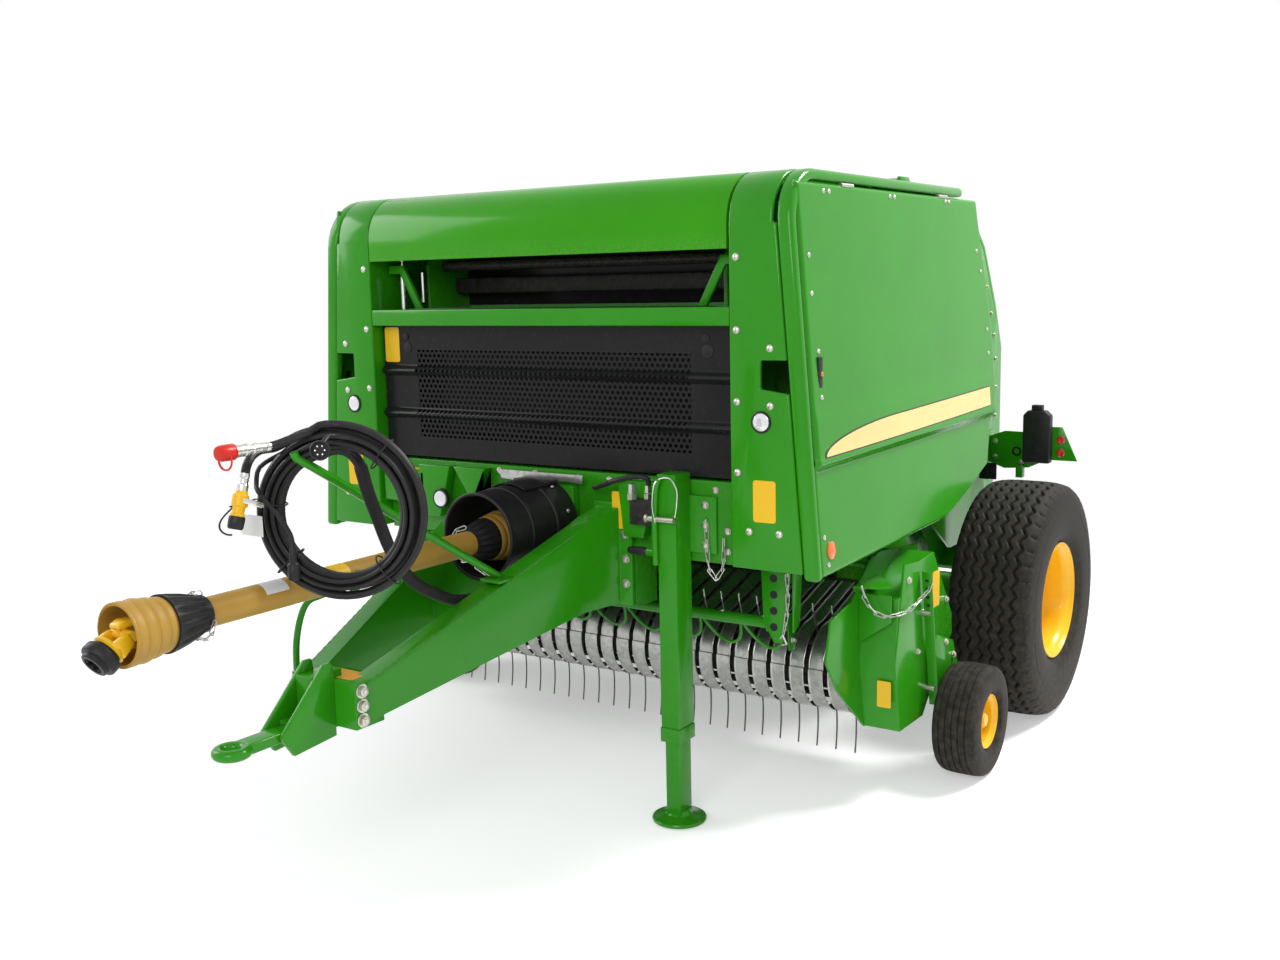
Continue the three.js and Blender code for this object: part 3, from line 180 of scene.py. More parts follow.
# ---------- Hoses and cables ----------
# Two hydraulic hoses and two cables leave a woven sleeve at the top of the holder, lie together in
# one to three turns over its bar, and end in their fittings. Each turn lies beside the last.


def node_group(name, inputs, outputs):
    """An empty shader group with its sockets, and its two ends."""
    tree = bpy.data.node_groups.new(name, "ShaderNodeTree")
    for label, kind, value in inputs:
        socket = tree.interface.new_socket(label, in_out="INPUT", socket_type=kind)
        socket.default_value = value
    for label, kind in outputs:
        tree.interface.new_socket(label, in_out="OUTPUT", socket_type=kind)
    return tree, tree.nodes.new("NodeGroupInput"), tree.nodes.new("NodeGroupOutput")


def noise(tree, place, scale, detail, roughness=0.55):
    """Noise on an object's own coordinates."""
    texture = tree.nodes.new("ShaderNodeTexNoise")
    texture.inputs["Scale"].default_value = scale
    texture.inputs["Detail"].default_value = detail
    texture.inputs["Roughness"].default_value = roughness
    link(tree, place, texture.inputs["Vector"])
    return texture.outputs["Fac"]


def ramp(tree, value, low, high, out_low=0.0, out_high=1.0):
    """Maps a value from one range onto another, clamped."""
    node = tree.nodes.new("ShaderNodeMapRange")
    node.inputs["From Min"].default_value = low
    node.inputs["From Max"].default_value = high
    node.inputs["To Min"].default_value = out_low
    node.inputs["To Max"].default_value = out_high
    link(tree, value, node.inputs["Value"])
    return node.outputs["Result"]


def arithmetic(tree, operation, first, second):
    """A Math node whose inputs are sockets or numbers."""
    node = tree.nodes.new("ShaderNodeMath")
    node.operation = operation
    for socket, value in zip(node.inputs, (first, second)):
        if isinstance(value, (int, float)):
            socket.default_value = value
        else:
            link(tree, value, socket)
    return node.outputs[0]


def blend_colour(tree, mask, first, second):
    """Mixes two colours, each a socket or a colour."""
    node = tree.nodes.new("ShaderNodeMix")
    node.data_type = "RGBA"
    link(tree, mask, node.inputs["Factor"])
    for socket, value in ((node.inputs[6], first), (node.inputs[7], second)):
        if isinstance(value, tuple):
            socket.default_value = (*value, 1)
        else:
            link(tree, value, socket)
    return node.outputs[2]


# Yard dust and handling: a colour that shifts a little over the surface, dust that thickens
# towards the ground, edges lightened in patches as rubbed paint and as a painted highlight,
# and a fine grain for the bump.
weather, weather_in, weather_out = node_group("weather", [("Colour", "NodeSocketColor", (0.5, 0.5, 0.5, 1)),
    ("Edge wear and highlight colour", "NodeSocketColor", (0.5, 0.5, 0.5, 1)), ("Gloss", "NodeSocketFloat", 0.3),
    ("Dust", "NodeSocketFloat", 0.2), ("Edge wear and highlight", "NodeSocketFloat", 0.2),
    ("Grain", "NodeSocketFloat", 300.0),], [("Colour", "NodeSocketColor"), ("Roughness", "NodeSocketFloat"),
    ("Height", "NodeSocketFloat")])
place = weather.nodes.new("ShaderNodeTexCoord").outputs["Object"]
broad = noise(weather, place, 3.5, 5)
mottle = noise(weather, place, 38, 6, 0.65)
specks = noise(weather, place, 210, 3, 0.7)
grain_noise = weather.nodes.new("ShaderNodeTexNoise")
grain_noise.inputs["Detail"].default_value = 2
link(weather, place, grain_noise.inputs["Vector"])
link(weather, weather_in.outputs["Grain"], grain_noise.inputs["Scale"])
split = weather.nodes.new("ShaderNodeSeparateXYZ")
link(weather, place, split.inputs[0])
low_down = ramp(weather, split.outputs["Z"], 0.9, 0.0)
dust_mask = arithmetic(weather, "MULTIPLY", ramp(weather, mottle, 0.42, 0.72), arithmetic(weather, "ADD",
    arithmetic(weather, "MULTIPLY", low_down, 0.8), 0.25))
dust_mask = arithmetic(weather, "MULTIPLY", dust_mask, weather_in.outputs["Dust"])
# Edges, picked out by pointiness and broken up by specks, are lightened: partly rubbed paint, partly a
# painted highlight.
edge = ramp(weather, weather.nodes.new("ShaderNodeNewGeometry").outputs["Pointiness"], 0.56, 0.68)
edge = arithmetic(weather, "MULTIPLY", edge, ramp(weather, specks, 0.45, 0.6))
edge = arithmetic(weather, "MULTIPLY", edge, weather_in.outputs["Edge wear and highlight"])
shade = weather.nodes.new("ShaderNodeHueSaturation")
link(weather, weather_in.outputs["Colour"], shade.inputs["Color"])
link(weather, ramp(weather, broad, 0.25, 0.75, 0.93, 1.06), shade.inputs["Value"])
dusty = blend_colour(weather, dust_mask, shade.outputs[0], (0.30, 0.25, 0.17))
link(weather, blend_colour(weather, edge, dusty, weather_in.outputs["Edge wear and highlight colour"]),
    weather_out.inputs["Colour"])
streaks = ramp(weather, mottle, 0.3, 0.8, -0.05, 0.07)
rough = arithmetic(weather, "ADD", weather_in.outputs["Gloss"], streaks)
rough = arithmetic(weather, "ADD", rough, arithmetic(weather, "MULTIPLY", dust_mask, 0.35))
link(weather, rough, weather_out.inputs["Roughness"])
link(weather, arithmetic(weather, "ADD", grain_noise.outputs["Fac"],
    arithmetic(weather, "MULTIPLY", dust_mask, 0.6)), weather_out.inputs["Height"])


def finish(name, colour, gloss, dust, grain, bump, edge_wear_and_highlight=0.2, edge_wear_and_highlight_colour=None, metallic=0.0, coat=0.0,
        specular=0.3):
    """A weathered surface whose edges carry wear and a painted highlight; what is the same all over stays on
    the shader itself.
    """
    material = bpy.data.materials.new(name)
    material.use_nodes = True
    tree = material.node_tree
    shader = tree.nodes["Principled BSDF"]
    shader.inputs["Metallic"].default_value = metallic
    shader.inputs["Coat Weight"].default_value = coat
    shader.inputs["Coat Roughness"].default_value = 0.08
    shader.inputs["Specular IOR Level"].default_value = specular
    group = tree.nodes.new("ShaderNodeGroup")
    group.name = "weather"
    group.node_tree = weather
    group.inputs["Colour"].default_value = (*colour, 1)
    group.inputs["Edge wear and highlight colour"].default_value = (*(edge_wear_and_highlight_colour or tuple(min(1, c * 1.6 + 0.02) for c in colour)), 1)
    group.inputs["Gloss"].default_value = gloss
    group.inputs["Dust"].default_value = dust
    group.inputs["Edge wear and highlight"].default_value = edge_wear_and_highlight
    group.inputs["Grain"].default_value = grain
    bump_node = tree.nodes.new("ShaderNodeBump")
    bump_node.name = "grain"
    bump_node.inputs["Strength"].default_value = 0.35
    bump_node.inputs["Distance"].default_value = bump
    link(tree, group.outputs["Colour"], shader.inputs["Base Color"])
    link(tree, group.outputs["Roughness"], shader.inputs["Roughness"])
    link(tree, group.outputs["Height"], bump_node.inputs["Height"])
    link(tree, bump_node.outputs["Normal"], shader.inputs["Normal"])
    return material


hose_rubber = finish("hose_rubber", (0.017, 0.017, 0.018), 0.42, dust=0.12, edge_wear_and_highlight=0.1,
    grain=900, bump=0.0003, specular=0.22)
woven_sleeve = finish("woven_sleeve", (0.014, 0.014, 0.015), 0.62, dust=0.15, edge_wear_and_highlight=0.0,
    grain=200, bump=0.0004, specular=0.18)
plug_plastic = finish("plug_plastic", (0.02, 0.02, 0.021), 0.38, dust=0.1, grain=700,
    bump=0.0002, specular=0.2)
cap_red = finish("cap_red", (0.62, 0.02, 0.012), 0.32, dust=0.05, grain=500, bump=0.0002)
valve_paint = finish("valve_paint", (0.86, 0.50, 0.012),
    0.36, dust=0.1, grain=400, bump=0.0002)
bright_steel = finish("bright_steel", (0.62, 0.62, 0.60), 0.24, dust=0.1, edge_wear_and_highlight=0.3, grain=600,
    bump=0.0002, metallic=1.0)

# The sleeve's weave: fine diamonds along the cord.
weave_tree = woven_sleeve.node_tree
weave_place = weave_tree.nodes.new("ShaderNodeTexCoord").outputs["Object"]
diamonds = weave_tree.nodes.new("ShaderNodeTexVoronoi")
diamonds.distance = "CHEBYCHEV"
diamonds.inputs["Scale"].default_value = 420
link(weave_tree, weave_place, diamonds.inputs["Vector"])
link(weave_tree, arithmetic(weave_tree, "ADD", diamonds.outputs["Distance"],
    weave_tree.nodes["weather"].outputs["Height"]), weave_tree.nodes["grain"].inputs["Height"])


def copy_of(master, placing):
    """A copy of a piece with a mesh of its own, moved to its place."""
    copy = master.copy()
    copy.data = master.data.copy()
    scene.collection.objects.link(copy)
    copy.data.transform(placing)
    return copy


def clear():
    """Nothing selected, and object mode."""
    if bpy.context.object and bpy.context.object.mode != "OBJECT":
        bpy.ops.object.mode_set(mode="OBJECT")
    bpy.ops.object.select_all(action="DESELECT")


def only(piece):
    """This piece alone is selected and active."""
    clear()
    piece.select_set(True)
    bpy.context.view_layer.objects.active = piece


def hold(piece, name, body, material):
    """Names a piece, gives it its finish and lets it ride on its body."""
    only(piece)
    bpy.ops.object.transform_apply(location=True, rotation=True, scale=True)
    piece.name = name
    piece.data.name = name
    piece.data.materials.clear()
    piece.data.materials.append(material)
    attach(piece, body)
    return piece


def smooth_line(points, spacing):
    """A smooth line through given points, resampled at about an even spacing."""
    points = [Vector(point) for point in points]
    ends = [2 * points[0] - points[1], *points, 2 * points[-1] - points[-2]]
    line = []
    for k in range(1, len(ends) - 2):
        a, b, c, d = ends[k - 1:k + 3]
        count = max(2, round((c - b).length / spacing))
        for step in range(count):
            t = step / count
            line.append(0.5 * (2 * b + (c - a) * t + (2 * a - 5 * b + 4 * c - d) * t ** 2
                + (3 * b - a - 3 * c + d) * t ** 3))
    line.append(points[-1])
    return line


def tube(line, radius, sides):
    """A round tube along a line: a curve with a round bevel, made a mesh with closed ends."""
    data = bpy.data.curves.new("tube", "CURVE")
    data.dimensions = "3D"
    data.bevel_depth = radius
    data.bevel_resolution = max(1, sides // 4 - 1)
    data.use_fill_caps = True
    spline = data.splines.new("POLY")
    spline.points.add(len(line) - 1)
    for point, place in zip(spline.points, line):
        point.co = (*place, 1)
    piece = bpy.data.objects.new("tube", data)
    scene.collection.objects.link(piece)
    only(piece)
    bpy.ops.object.convert(target="MESH")
    piece = bpy.context.object
    bpy.ops.object.shade_smooth_by_angle(angle=math.radians(45))
    return piece


coil_centre = at(0.160, -0.982, 1.080)
coil_r = 0.176
coil_turn = math.radians(63)
coil_front = Vector((-math.sin(coil_turn), -math.cos(coil_turn), 0))
coil_axis = Vector((math.cos(coil_turn), -math.sin(coil_turn), 0))


def on_coil(degrees):
    """The middle of the bundle at an angle round the coil, from its front."""
    turn = math.radians(degrees)
    return coil_centre + coil_r * (coil_front * math.cos(turn) + Vector((0, 0, math.sin(turn))))


sleeve_route = [at(x / 1000, y / 1000, z / 1000) for x, y, z in ((168, 51.7, 862), (168, -40, 862),
    (166, -130, 838), (154, -230, 796), (132, -330, 762), (114, -430, 742), (106, -520, 752),
    (106, -600, 786), (112, -680, 832), (126, -750, 890), (146, -810, 960), (164, -860, 1040),
    (178, -905, 1120), (188, -935, 1190))]
sleeve_line = smooth_line(sleeve_route, 0.02)
sleeve_r = 0.017
sleeve = hold(tube(sleeve_line, sleeve_r, 16), "hose_sleeve_woven", "chassis", woven_sleeve)
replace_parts(sleeve, "hose_sleeve")

JOIN_DEGREES = 80
lead_in = []
mouth = sleeve_line[-1]
mouth_way = (sleeve_line[-1] - sleeve_line[-3]).normalized()
join_point = on_coil(JOIN_DEGREES)
join_way = (on_coil(JOIN_DEGREES - 1) - join_point).normalized()
for step in range(9):
    t = step / 9
    p1 = mouth + mouth_way * 0.05
    p2 = join_point - join_way * 0.05
    lead_in.append(mouth * (1 - t) ** 3 + p1 * 3 * t * (1 - t) ** 2 + p2 * 3 * t * t * (1 - t)
        + join_point * t ** 3)


hose_r = 0.0108
cable_r = 0.0060


# Where each strand lies in the bundle: turns made so far, millimetres outward and along the axis.
strands = (
    ("hose_a", hose_r, "fitting", (0, 8.2), ((0, -26, 11), (1.5, 6, 12), (3, 44, 11)), (
        (117, -1040, 1278), (106, -1074, 1271), (96, -1104, 1262), (91, -1124, 1258), (90, -1137, 1257))),
    ("hose_b", hose_r, "fitting", (0, -8.2), ((0, -22, -12), (1.9, 22, -12), (2, 34, -8), (2.083, 44, 4)), (
        (32, -1072, 1243), (31, -1108, 1243), (37, -1143, 1231), (46, -1166, 1212), (50, -1176, 1192))),
    ("light_cable", cable_r, "connector", (9.8, 0), ((0, -14, 29), (1.93, 16, 29)), (
        (188, -1014, 1274), (191, -1038, 1275), (198, -1060, 1265), (205, -1077, 1248))),
    ("control_cable", cable_r, "plug", (-9.8, 0), ((0, -8, -29), (1.05, 12, -29), (1.12, 42, -18),
                                                   (1.14, 54, 4)), (
        (-6, -1098, 1158), (20, -1116, 1142), (50, -1112, 1112), (72, -1094, 1072), (80, -1076, 1034),
        (80, -1072, 1016))),
)


def keyed(keys, turns):
    """A strand's place in the bundle after so many turns."""
    for (t0, r0, a0), (t1, r1, a1) in zip(keys, keys[1:]):
        if turns <= t1:
            k = (turns - t0) / (t1 - t0)
            return (r0 + (r1 - r0) * k) / 1000, (a0 + (a1 - a0) * k) / 1000
    return keys[-1][1] / 1000, keys[-1][2] / 1000


def strand_line(mouth_place, keys, tail):
    """A strand's route: the sleeve's mouth, the lead-in, its turns and its tail."""
    line = []
    for k, centre in enumerate(lead_in):
        t = k / len(lead_in)
        ahead = (lead_in[min(k + 1, len(lead_in) - 1)] - lead_in[max(k - 1, 0)]).normalized()
        across = (coil_axis - ahead * coil_axis.dot(ahead)).normalized()
        outward = ahead.cross(across)
        out0, side0 = mouth_place[0] / 1000, mouth_place[1] / 1000
        out1, side1 = keys[0][1] / 1000, keys[0][2] / 1000
        line.append(centre + outward * (out0 + (out1 - out0) * t) + across * (side0 + (side1 - side0) * t))
    sweep = 360 * keys[-1][0]
    steps = round(sweep / 12)
    for k in range(steps + 1):
        turns = sweep * k / steps / 360
        outward_offset, side_offset = keyed(keys, turns)
        centre = on_coil(JOIN_DEGREES - 360 * turns)
        line.append(centre + (centre - coil_centre).normalized() * outward_offset + coil_axis * side_offset)
    return smooth_line([*line, *(at(x / 1000, y / 1000, z / 1000) for x, y, z in tail)], 0.016)


def join(pieces):
    """Joins pieces into the first of them."""
    clear()
    for piece in pieces:
        piece.select_set(True)
    bpy.context.view_layer.objects.active = pieces[0]
    if len(pieces) > 1:
        bpy.ops.object.join()
    return bpy.context.object


def closed_up(piece):
    """Merges doubled corners and turns every face outwards."""
    only(piece)
    bpy.ops.object.mode_set(mode="EDIT")
    bpy.ops.mesh.select_all(action="SELECT")
    bpy.ops.mesh.remove_doubles(threshold=0.00002)
    bpy.ops.mesh.normals_make_consistent(inside=False)
    bpy.ops.object.mode_set(mode="OBJECT")
    return piece


def apply_all(piece):
    only(piece)
    for modifier in list(piece.modifiers):
        bpy.ops.object.modifier_apply(modifier=modifier.name)
    return piece


def walled(piece, thickness, offset=0):
    """Gives a sheet its thickness, inwards for -1, outwards for 1 and to both sides for 0."""
    wall = piece.modifiers.new("wall", "SOLIDIFY")
    wall.thickness = thickness
    wall.offset = offset
    return apply_all(piece)


def rounded(piece, width, segments=2):
    """Bevels a piece's hard edges and smooths what lies between."""
    bevel = piece.modifiers.new("edges", "BEVEL")
    bevel.width = width
    bevel.segments = segments
    bevel.limit_method = "ANGLE"
    bevel.angle_limit = math.radians(30)
    bevel.use_clamp_overlap = True
    apply_all(piece)
    bpy.ops.object.shade_smooth_by_angle(angle=math.radians(38))
    return piece


def grid_shell(columns, rows, place_of):
    """A plane grid whose corners are laid on a surface by their column and row."""
    clear()
    bpy.ops.mesh.primitive_grid_add(x_subdivisions=columns, y_subdivisions=rows, size=2)
    piece = bpy.context.object
    for vertex in piece.data.vertices:
        column = round((vertex.co.x + 1) / 2 * columns)
        row = round((vertex.co.y + 1) / 2 * rows)
        vertex.co = place_of(column, row)
    return piece


def turned(profile, centre, axis, steps):
    """A profile of (along, radius) spun once round an axis through its centre."""
    centre = Vector(centre)

    def place_of(column, row):
        along, radius = profile[row]
        turn = 2 * math.pi * (column % steps) / steps
        a, b = radius * math.cos(turn), radius * math.sin(turn)
        spoke = {"X": (along, a, b), "Y": (a, along, b), "Z": (a, b, along)}[axis]
        return centre + Vector(spoke)

    piece = closed_up(grid_shell(steps, len(profile) - 1, place_of))
    bpy.ops.object.shade_smooth_by_angle(angle=math.radians(32))
    return piece


def block(low, high, bevel=0.002, segments=2):
    """A squared piece between two corners with softened edges."""
    clear()
    low, high = Vector(low), Vector(high)
    bpy.ops.mesh.primitive_cube_add(size=1, location=(low + high) / 2)
    piece = bpy.context.object
    piece.scale = high - low
    bpy.ops.object.transform_apply(location=True, rotation=True, scale=True)
    return rounded(piece, bevel, segments)


def plate(outline, plane, low, high, bevel, segments=2, y_from=front_y):
    """A flat plate: an outline in a plane ("YZ", "XZ" or "XY") drawn out between two depths."""
    clear()
    bpy.ops.mesh.primitive_circle_add(vertices=len(outline), fill_type="NGON")
    piece = bpy.context.object
    order = {"YZ": (2, 0, 1), "XZ": (0, 2, 1), "XY": (0, 1, 2)}[plane]
    for vertex, (a, b) in zip(piece.data.vertices, outline):
        x, y, z = ((a, b, low)[k] for k in order)
        vertex.co = (x, y + y_from, z)
    depth = tuple((0, 0, high - low)[k] for k in order)
    bpy.ops.object.mode_set(mode="EDIT")
    bpy.ops.mesh.select_all(action="SELECT")
    bpy.ops.mesh.extrude_region_move(TRANSFORM_OT_translate={"value": depth})
    bpy.ops.object.mode_set(mode="OBJECT")
    closed_up(piece)
    return rounded(piece, bevel, segments)


def turn_to(normal):
    """The turn that points +Z along a normal."""
    return Vector(normal).normalized().to_track_quat("Z", "Y").to_matrix().to_4x4()


fastener_masters = {}


def fastener(kind):
    """One fastener of unit radius on the plane z = 0: a hex bolt on its washer, or a domed screw."""
    if kind not in fastener_masters:
        washer = turned([(0, 0), (0, 1.25), (0.12, 1.3), (0.26, 1.25), (0.28, 0)], (0, 0, 0), "Z", 20)
        if kind == "hex":
            clear()
            bpy.ops.mesh.primitive_cylinder_add(vertices=6, radius=1, depth=0.66, location=(0, 0, 0.6))
            head = rounded(bpy.context.object, 0.09, 2)
            stud = turned([(0.9, 0), (0.9, 0.42), (1.1, 0.4), (1.16, 0)], (0, 0, 0), "Z", 12)
            master = join([washer, head, stud])
        else:
            dome = turned([(0.2, 0), (0.2, 1.02), (0.42, 0.96), (0.6, 0.72), (0.7, 0.36), (0.62, 0.3),
                (0.6, 0)], (0, 0, 0), "Z", 18)
            master = join([washer, dome])
        master.name = "fastener_master_" + kind
        fastener_masters[kind] = master
    return fastener_masters[kind]


def fasteners(name, body, places, material=None, kind="hex"):
    """Copies of one fastener at (place, normal, radius), joined as one piece."""
    master = fastener(kind)
    copies = []
    for place, normal, radius in places:
        placing = Matrix.Translation(place) @ turn_to(normal) @ Matrix.Scale(radius, 4)
        copies.append(copy_of(master, placing))
    hold(join(copies), name, body, material or zinc_plate)


zinc_plate = finish("zinc_plate", (0.55, 0.54, 0.47), 0.33, dust=0.25, edge_wear_and_highlight=0.3, grain=500,
    bump=0.0003, metallic=1.0)

strand_pieces = {}
strand_routes = {}
for name, radius, far_end, mouth_place, keys, tail in strands:
    strand_routes[name] = strand_line(mouth_place, keys, tail)
    strand_pieces[name] = hold(tube(strand_routes[name], radius, 12), name + "_rubber", "chassis",
        hose_rubber)

# The quick coupler on one hose: crimped ferrule, hex, silver body with its ring, red cap and strap.
tip = at(0.090, -1.137, 1.257)
coupler = hold(turned([(0.004, 0), (0.004, 0.0118), (-0.006, 0.0118), (-0.008, 0.0108), (-0.012, 0.0118),
    (-0.018, 0.0108), (-0.022, 0.0118), (-0.030, 0.0100), (-0.032, 0.0135), (-0.046, 0.0135),
    (-0.048, 0.0115), (-0.060, 0.0115), (-0.062, 0.0155), (-0.070, 0.0155), (-0.072, 0.0142),
    (-0.088, 0.0142), (-0.090, 0.0155), (-0.098, 0.0155), (-0.100, 0.012), (-0.104, 0.012), (-0.104, 0)],
    tip, "Y", 28), "quick_coupler", "chassis", bright_steel)
red_cap = hold(turned([(-0.100, 0), (-0.100, 0.0185), (-0.103, 0.0198), (-0.136, 0.0192), (-0.143, 0.0165),
    (-0.145, 0)], tip, "Y", 28), "coupler_cap", "chassis", cap_red)
loop = [tip + Vector((0.019 * math.sin(t), -0.118 - 0.002 * t, -0.002 - 0.038 * (1 - math.cos(t)) / 2))
    for t in [math.radians(12 * k) for k in range(31)]]
red_strap = hold(tube(loop, 0.0026, 8), "coupler_cap_strap", "chassis", cap_red)

# The ball valve on the other: yellow body, silver lever, black dust cap on its strap.
valve_top = at(0.050, -1.176, 1.192)
valve_low = at(0.050, -1.216, 1.066)
valve_way = (valve_low - valve_top).normalized()
valve_turn = Matrix.Translation(valve_top) @ turn_to(valve_way)
ferrule = turned([(-0.004, 0), (-0.004, 0.0115), (0.006, 0.0115), (0.009, 0.0105), (0.012, 0.0115),
    (0.018, 0.0105), (0.022, 0.0115), (0.024, 0.013), (0.040, 0.013), (0.040, 0)], (0, 0, 0), "Z", 24)
ferrule.data.transform(valve_turn)
hold(ferrule, "valve_ferrule", "chassis", bright_steel)
valve_body = turned([(0.038, 0), (0.038, 0.0135), (0.046, 0.0150), (0.050, 0.0195), (0.074, 0.0195),
    (0.078, 0.0150), (0.092, 0.0140), (0.094, 0.0172), (0.104, 0.0172), (0.104, 0)], (0, 0, 0), "Z", 24)
valve_body.data.transform(valve_turn)
valve_body = hold(valve_body, "ball_valve_body", "chassis", valve_paint)
lever = plate([(-0.006, -0.012), (0.006, -0.012), (0.007, 0.046), (0.004, 0.052), (-0.004, 0.052),
    (-0.007, 0.046)], "XY", 0.0235, 0.0265, 0.0012, y_from=0)
lever.data.transform(Matrix.Translation(valve_top + valve_way * 0.062)
    @ Matrix.Rotation(math.radians(90), 4, "Y") @ Matrix.Rotation(math.radians(-20), 4, "Z"))
hold(lever, "ball_valve_lever", "chassis", bright_steel)
dust_cap = turned([(0.100, 0), (0.100, 0.0185), (0.104, 0.0196), (0.126, 0.0190), (0.131, 0.0160),
    (0.131, 0)], (0, 0, 0), "Z", 24)
dust_cap.data.transform(valve_turn)
dust_cap = hold(dust_cap, "valve_dust_cap", "chassis", plug_plastic)
cap_loop = [valve_top + valve_way * 0.112 + Vector((-0.02 - 0.034 * math.sin(t) ** 2,
    0.016 * math.sin(2 * t), 0.034 * math.cos(t))) for t in [math.radians(6 * k) for k in range(31)]]
hold(tube(cap_loop, 0.0024, 8), "valve_cap_strap", "chassis", plug_plastic)

# The round lighting connector: ribbed grip, body with its three key ribs, and a sprung lid.
connector_top = at(0.205, -1.077, 1.248)
connector_low = at(0.244, -1.114, 1.254)
connector_turn = Matrix.Translation(connector_top) @ turn_to(connector_low - connector_top)
span = (connector_low - connector_top).length
connector = turned([(-0.012, 0), (-0.012, 0.0062), (0.0, 0.0085), (0.004, 0.0160), (0.010, 0.0175),
    (0.013, 0.0165), (0.016, 0.0178), (0.019, 0.0168), (0.022, 0.0185), (0.026, 0.0240), (span, 0.0240),
    (span + 0.002, 0.0228), (span + 0.002, 0.0200), (span - 0.010, 0.0200), (span - 0.010, 0)], (0, 0, 0),
    "Z", 32)
pins = [turned([(span - 0.011, 0), (span - 0.011, 0.0022), (span - 0.002, 0.0020), (span - 0.001, 0)],
    (0.011 * math.cos(k * math.pi / 3), 0.011 * math.sin(k * math.pi / 3), 0), "Z", 8) for k in range(6)]
pin_set = join(pins)
pin_set.data.transform(connector_turn)
hold(pin_set, "connector_pins", "chassis", bright_steel)
connector.data.transform(connector_turn)
connector = hold(connector, "light_connector_body", "chassis", plug_plastic)

# The control plug, parked point down.
plug = turned([(0.006, 0), (0.006, 0.0058), (-0.012, 0.0068), (-0.016, 0.0090), (-0.050, 0.0092),
    (-0.054, 0.0132), (-0.058, 0.0150), (-0.061, 0.0140), (-0.064, 0.0150), (-0.067, 0.0140),
    (-0.070, 0.0150), (-0.094, 0.0150), (-0.096, 0.0120), (-0.097, 0)], at(0.080, -1.072, 1.015), "Z", 24)
plug = hold(plug, "control_plug_body", "chassis", plug_plastic)

for name, radius, far_end, mouth_place, keys, tail in strands:
    ends = {"hose_a": [coupler, red_cap, red_strap], "hose_b": [valve_body, dust_cap],
        "light_cable": [connector], "control_cable": [plug]}[name]
    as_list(ends)
    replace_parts(strand_pieces[name], name, *(["hose_coil"] if name == "hose_a" else []))
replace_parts(coupler, "hose_a_coupler")
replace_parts(valve_body, "hose_b_valve")
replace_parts(connector, "light_connector")
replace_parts(plug, "control_plug")

tag_white = finish("tag_white", (0.80, 0.80, 0.79), 0.5, dust=0.05, grain=500, bump=0.0001)

# Cable ties hold the turns together, and a blank white tag hangs on one of the hoses.
for k, degrees in enumerate((8, 128, 232, 318)):
    spoke = (on_coil(degrees) - coil_centre).normalized()
    ring = [on_coil(degrees) + spoke * (0.007 + 0.044 * math.cos(t)) + coil_axis * (0.035 * math.sin(t))
        for t in [math.radians(15 * step) for step in range(25)]]
    hold(tube(ring, 0.0021, 8), "coil_tie_%d" % (k + 1), "chassis", plug_plastic)
tag = block(at(-0.046, -1.1205, 1.030), at(0.034, -1.1195, 1.082), 0.0004, 1)
hold(tag, "hose_tag", "chassis", tag_white)


# ---------- Paints, plastics and metals of the machine ----------
# Glossy baked enamel over pressed sheet, satin black enamel, galvanised pickup steel, cast yellow
# wheel paint, and the black and ochre plastics of the drive shaft's guards.

body_green = finish("body_green", (0.024, 0.270, 0.004), 0.20, dust=0.05, edge_wear_and_highlight=0.4,
    edge_wear_and_highlight_colour=(0.20, 0.33, 0.16), grain=260, bump=0.00015, coat=0.16, specular=0.2)
hood_green = finish("hood_green", (0.036, 0.31, 0.002), 0.19, dust=0.02, edge_wear_and_highlight=0.3,
    edge_wear_and_highlight_colour=(0.25, 0.45, 0.15), grain=260, bump=0.00015, coat=0.12, specular=0.12)
frame_green = finish("frame_green", (0.024, 0.245, 0.004), 0.26, dust=0.10, edge_wear_and_highlight=0.8,
    edge_wear_and_highlight_colour=(0.18, 0.28, 0.14), grain=180, bump=0.0005, coat=0.1, specular=0.16)
wheel_yellow = finish("wheel_yellow", (0.95, 0.55, 0.010), 0.32, dust=0.12, edge_wear_and_highlight=0.5,
    edge_wear_and_highlight_colour=(0.9, 0.62, 0.25), grain=220, bump=0.0003, coat=0.2)
ochre_plastic = finish("ochre_plastic", (0.47, 0.27, 0.045), 0.46, dust=0.25, edge_wear_and_highlight=0.2,
    grain=420, bump=0.0004)
black_satin = finish("black_satin", (0.012, 0.012, 0.013), 0.24, dust=0.06, edge_wear_and_highlight=0.25,
    edge_wear_and_highlight_colour=(0.09, 0.09, 0.09), grain=300, bump=0.0002, specular=0.16)
black_steel = finish("black_steel", (0.016, 0.016, 0.016), 0.45, dust=0.45, edge_wear_and_highlight=0.5,
    edge_wear_and_highlight_colour=(0.16, 0.14, 0.12), grain=180, bump=0.0005, specular=0.2)
black_plastic = finish("black_plastic", (0.015, 0.015, 0.016), 0.42, dust=0.12, grain=700,
    bump=0.0005, specular=0.2)
galvanised = finish("galvanised", (0.50, 0.50, 0.47), 0.32, dust=0.12, edge_wear_and_highlight=0.2, grain=90,
    bump=0.0003, metallic=0.9)
spring_steel = finish("spring_steel", (0.10, 0.095, 0.09), 0.38, dust=0.3, edge_wear_and_highlight=0.3,
    grain=300, bump=0.0002, metallic=0.85)
tyre_rubber = finish("tyre_rubber", (0.021, 0.019, 0.017), 0.66, dust=0.18, edge_wear_and_highlight=0.0,
    grain=160, bump=0.0012, specular=0.15)
decal_yellow = finish("decal_yellow", (0.88, 0.52, 0.02),
    0.3, dust=0.12, grain=300, bump=0.0001)
decal_orange = finish("decal_orange", (0.86, 0.36, 0.02),
    0.3, dust=0.12, grain=300, bump=0.0001)
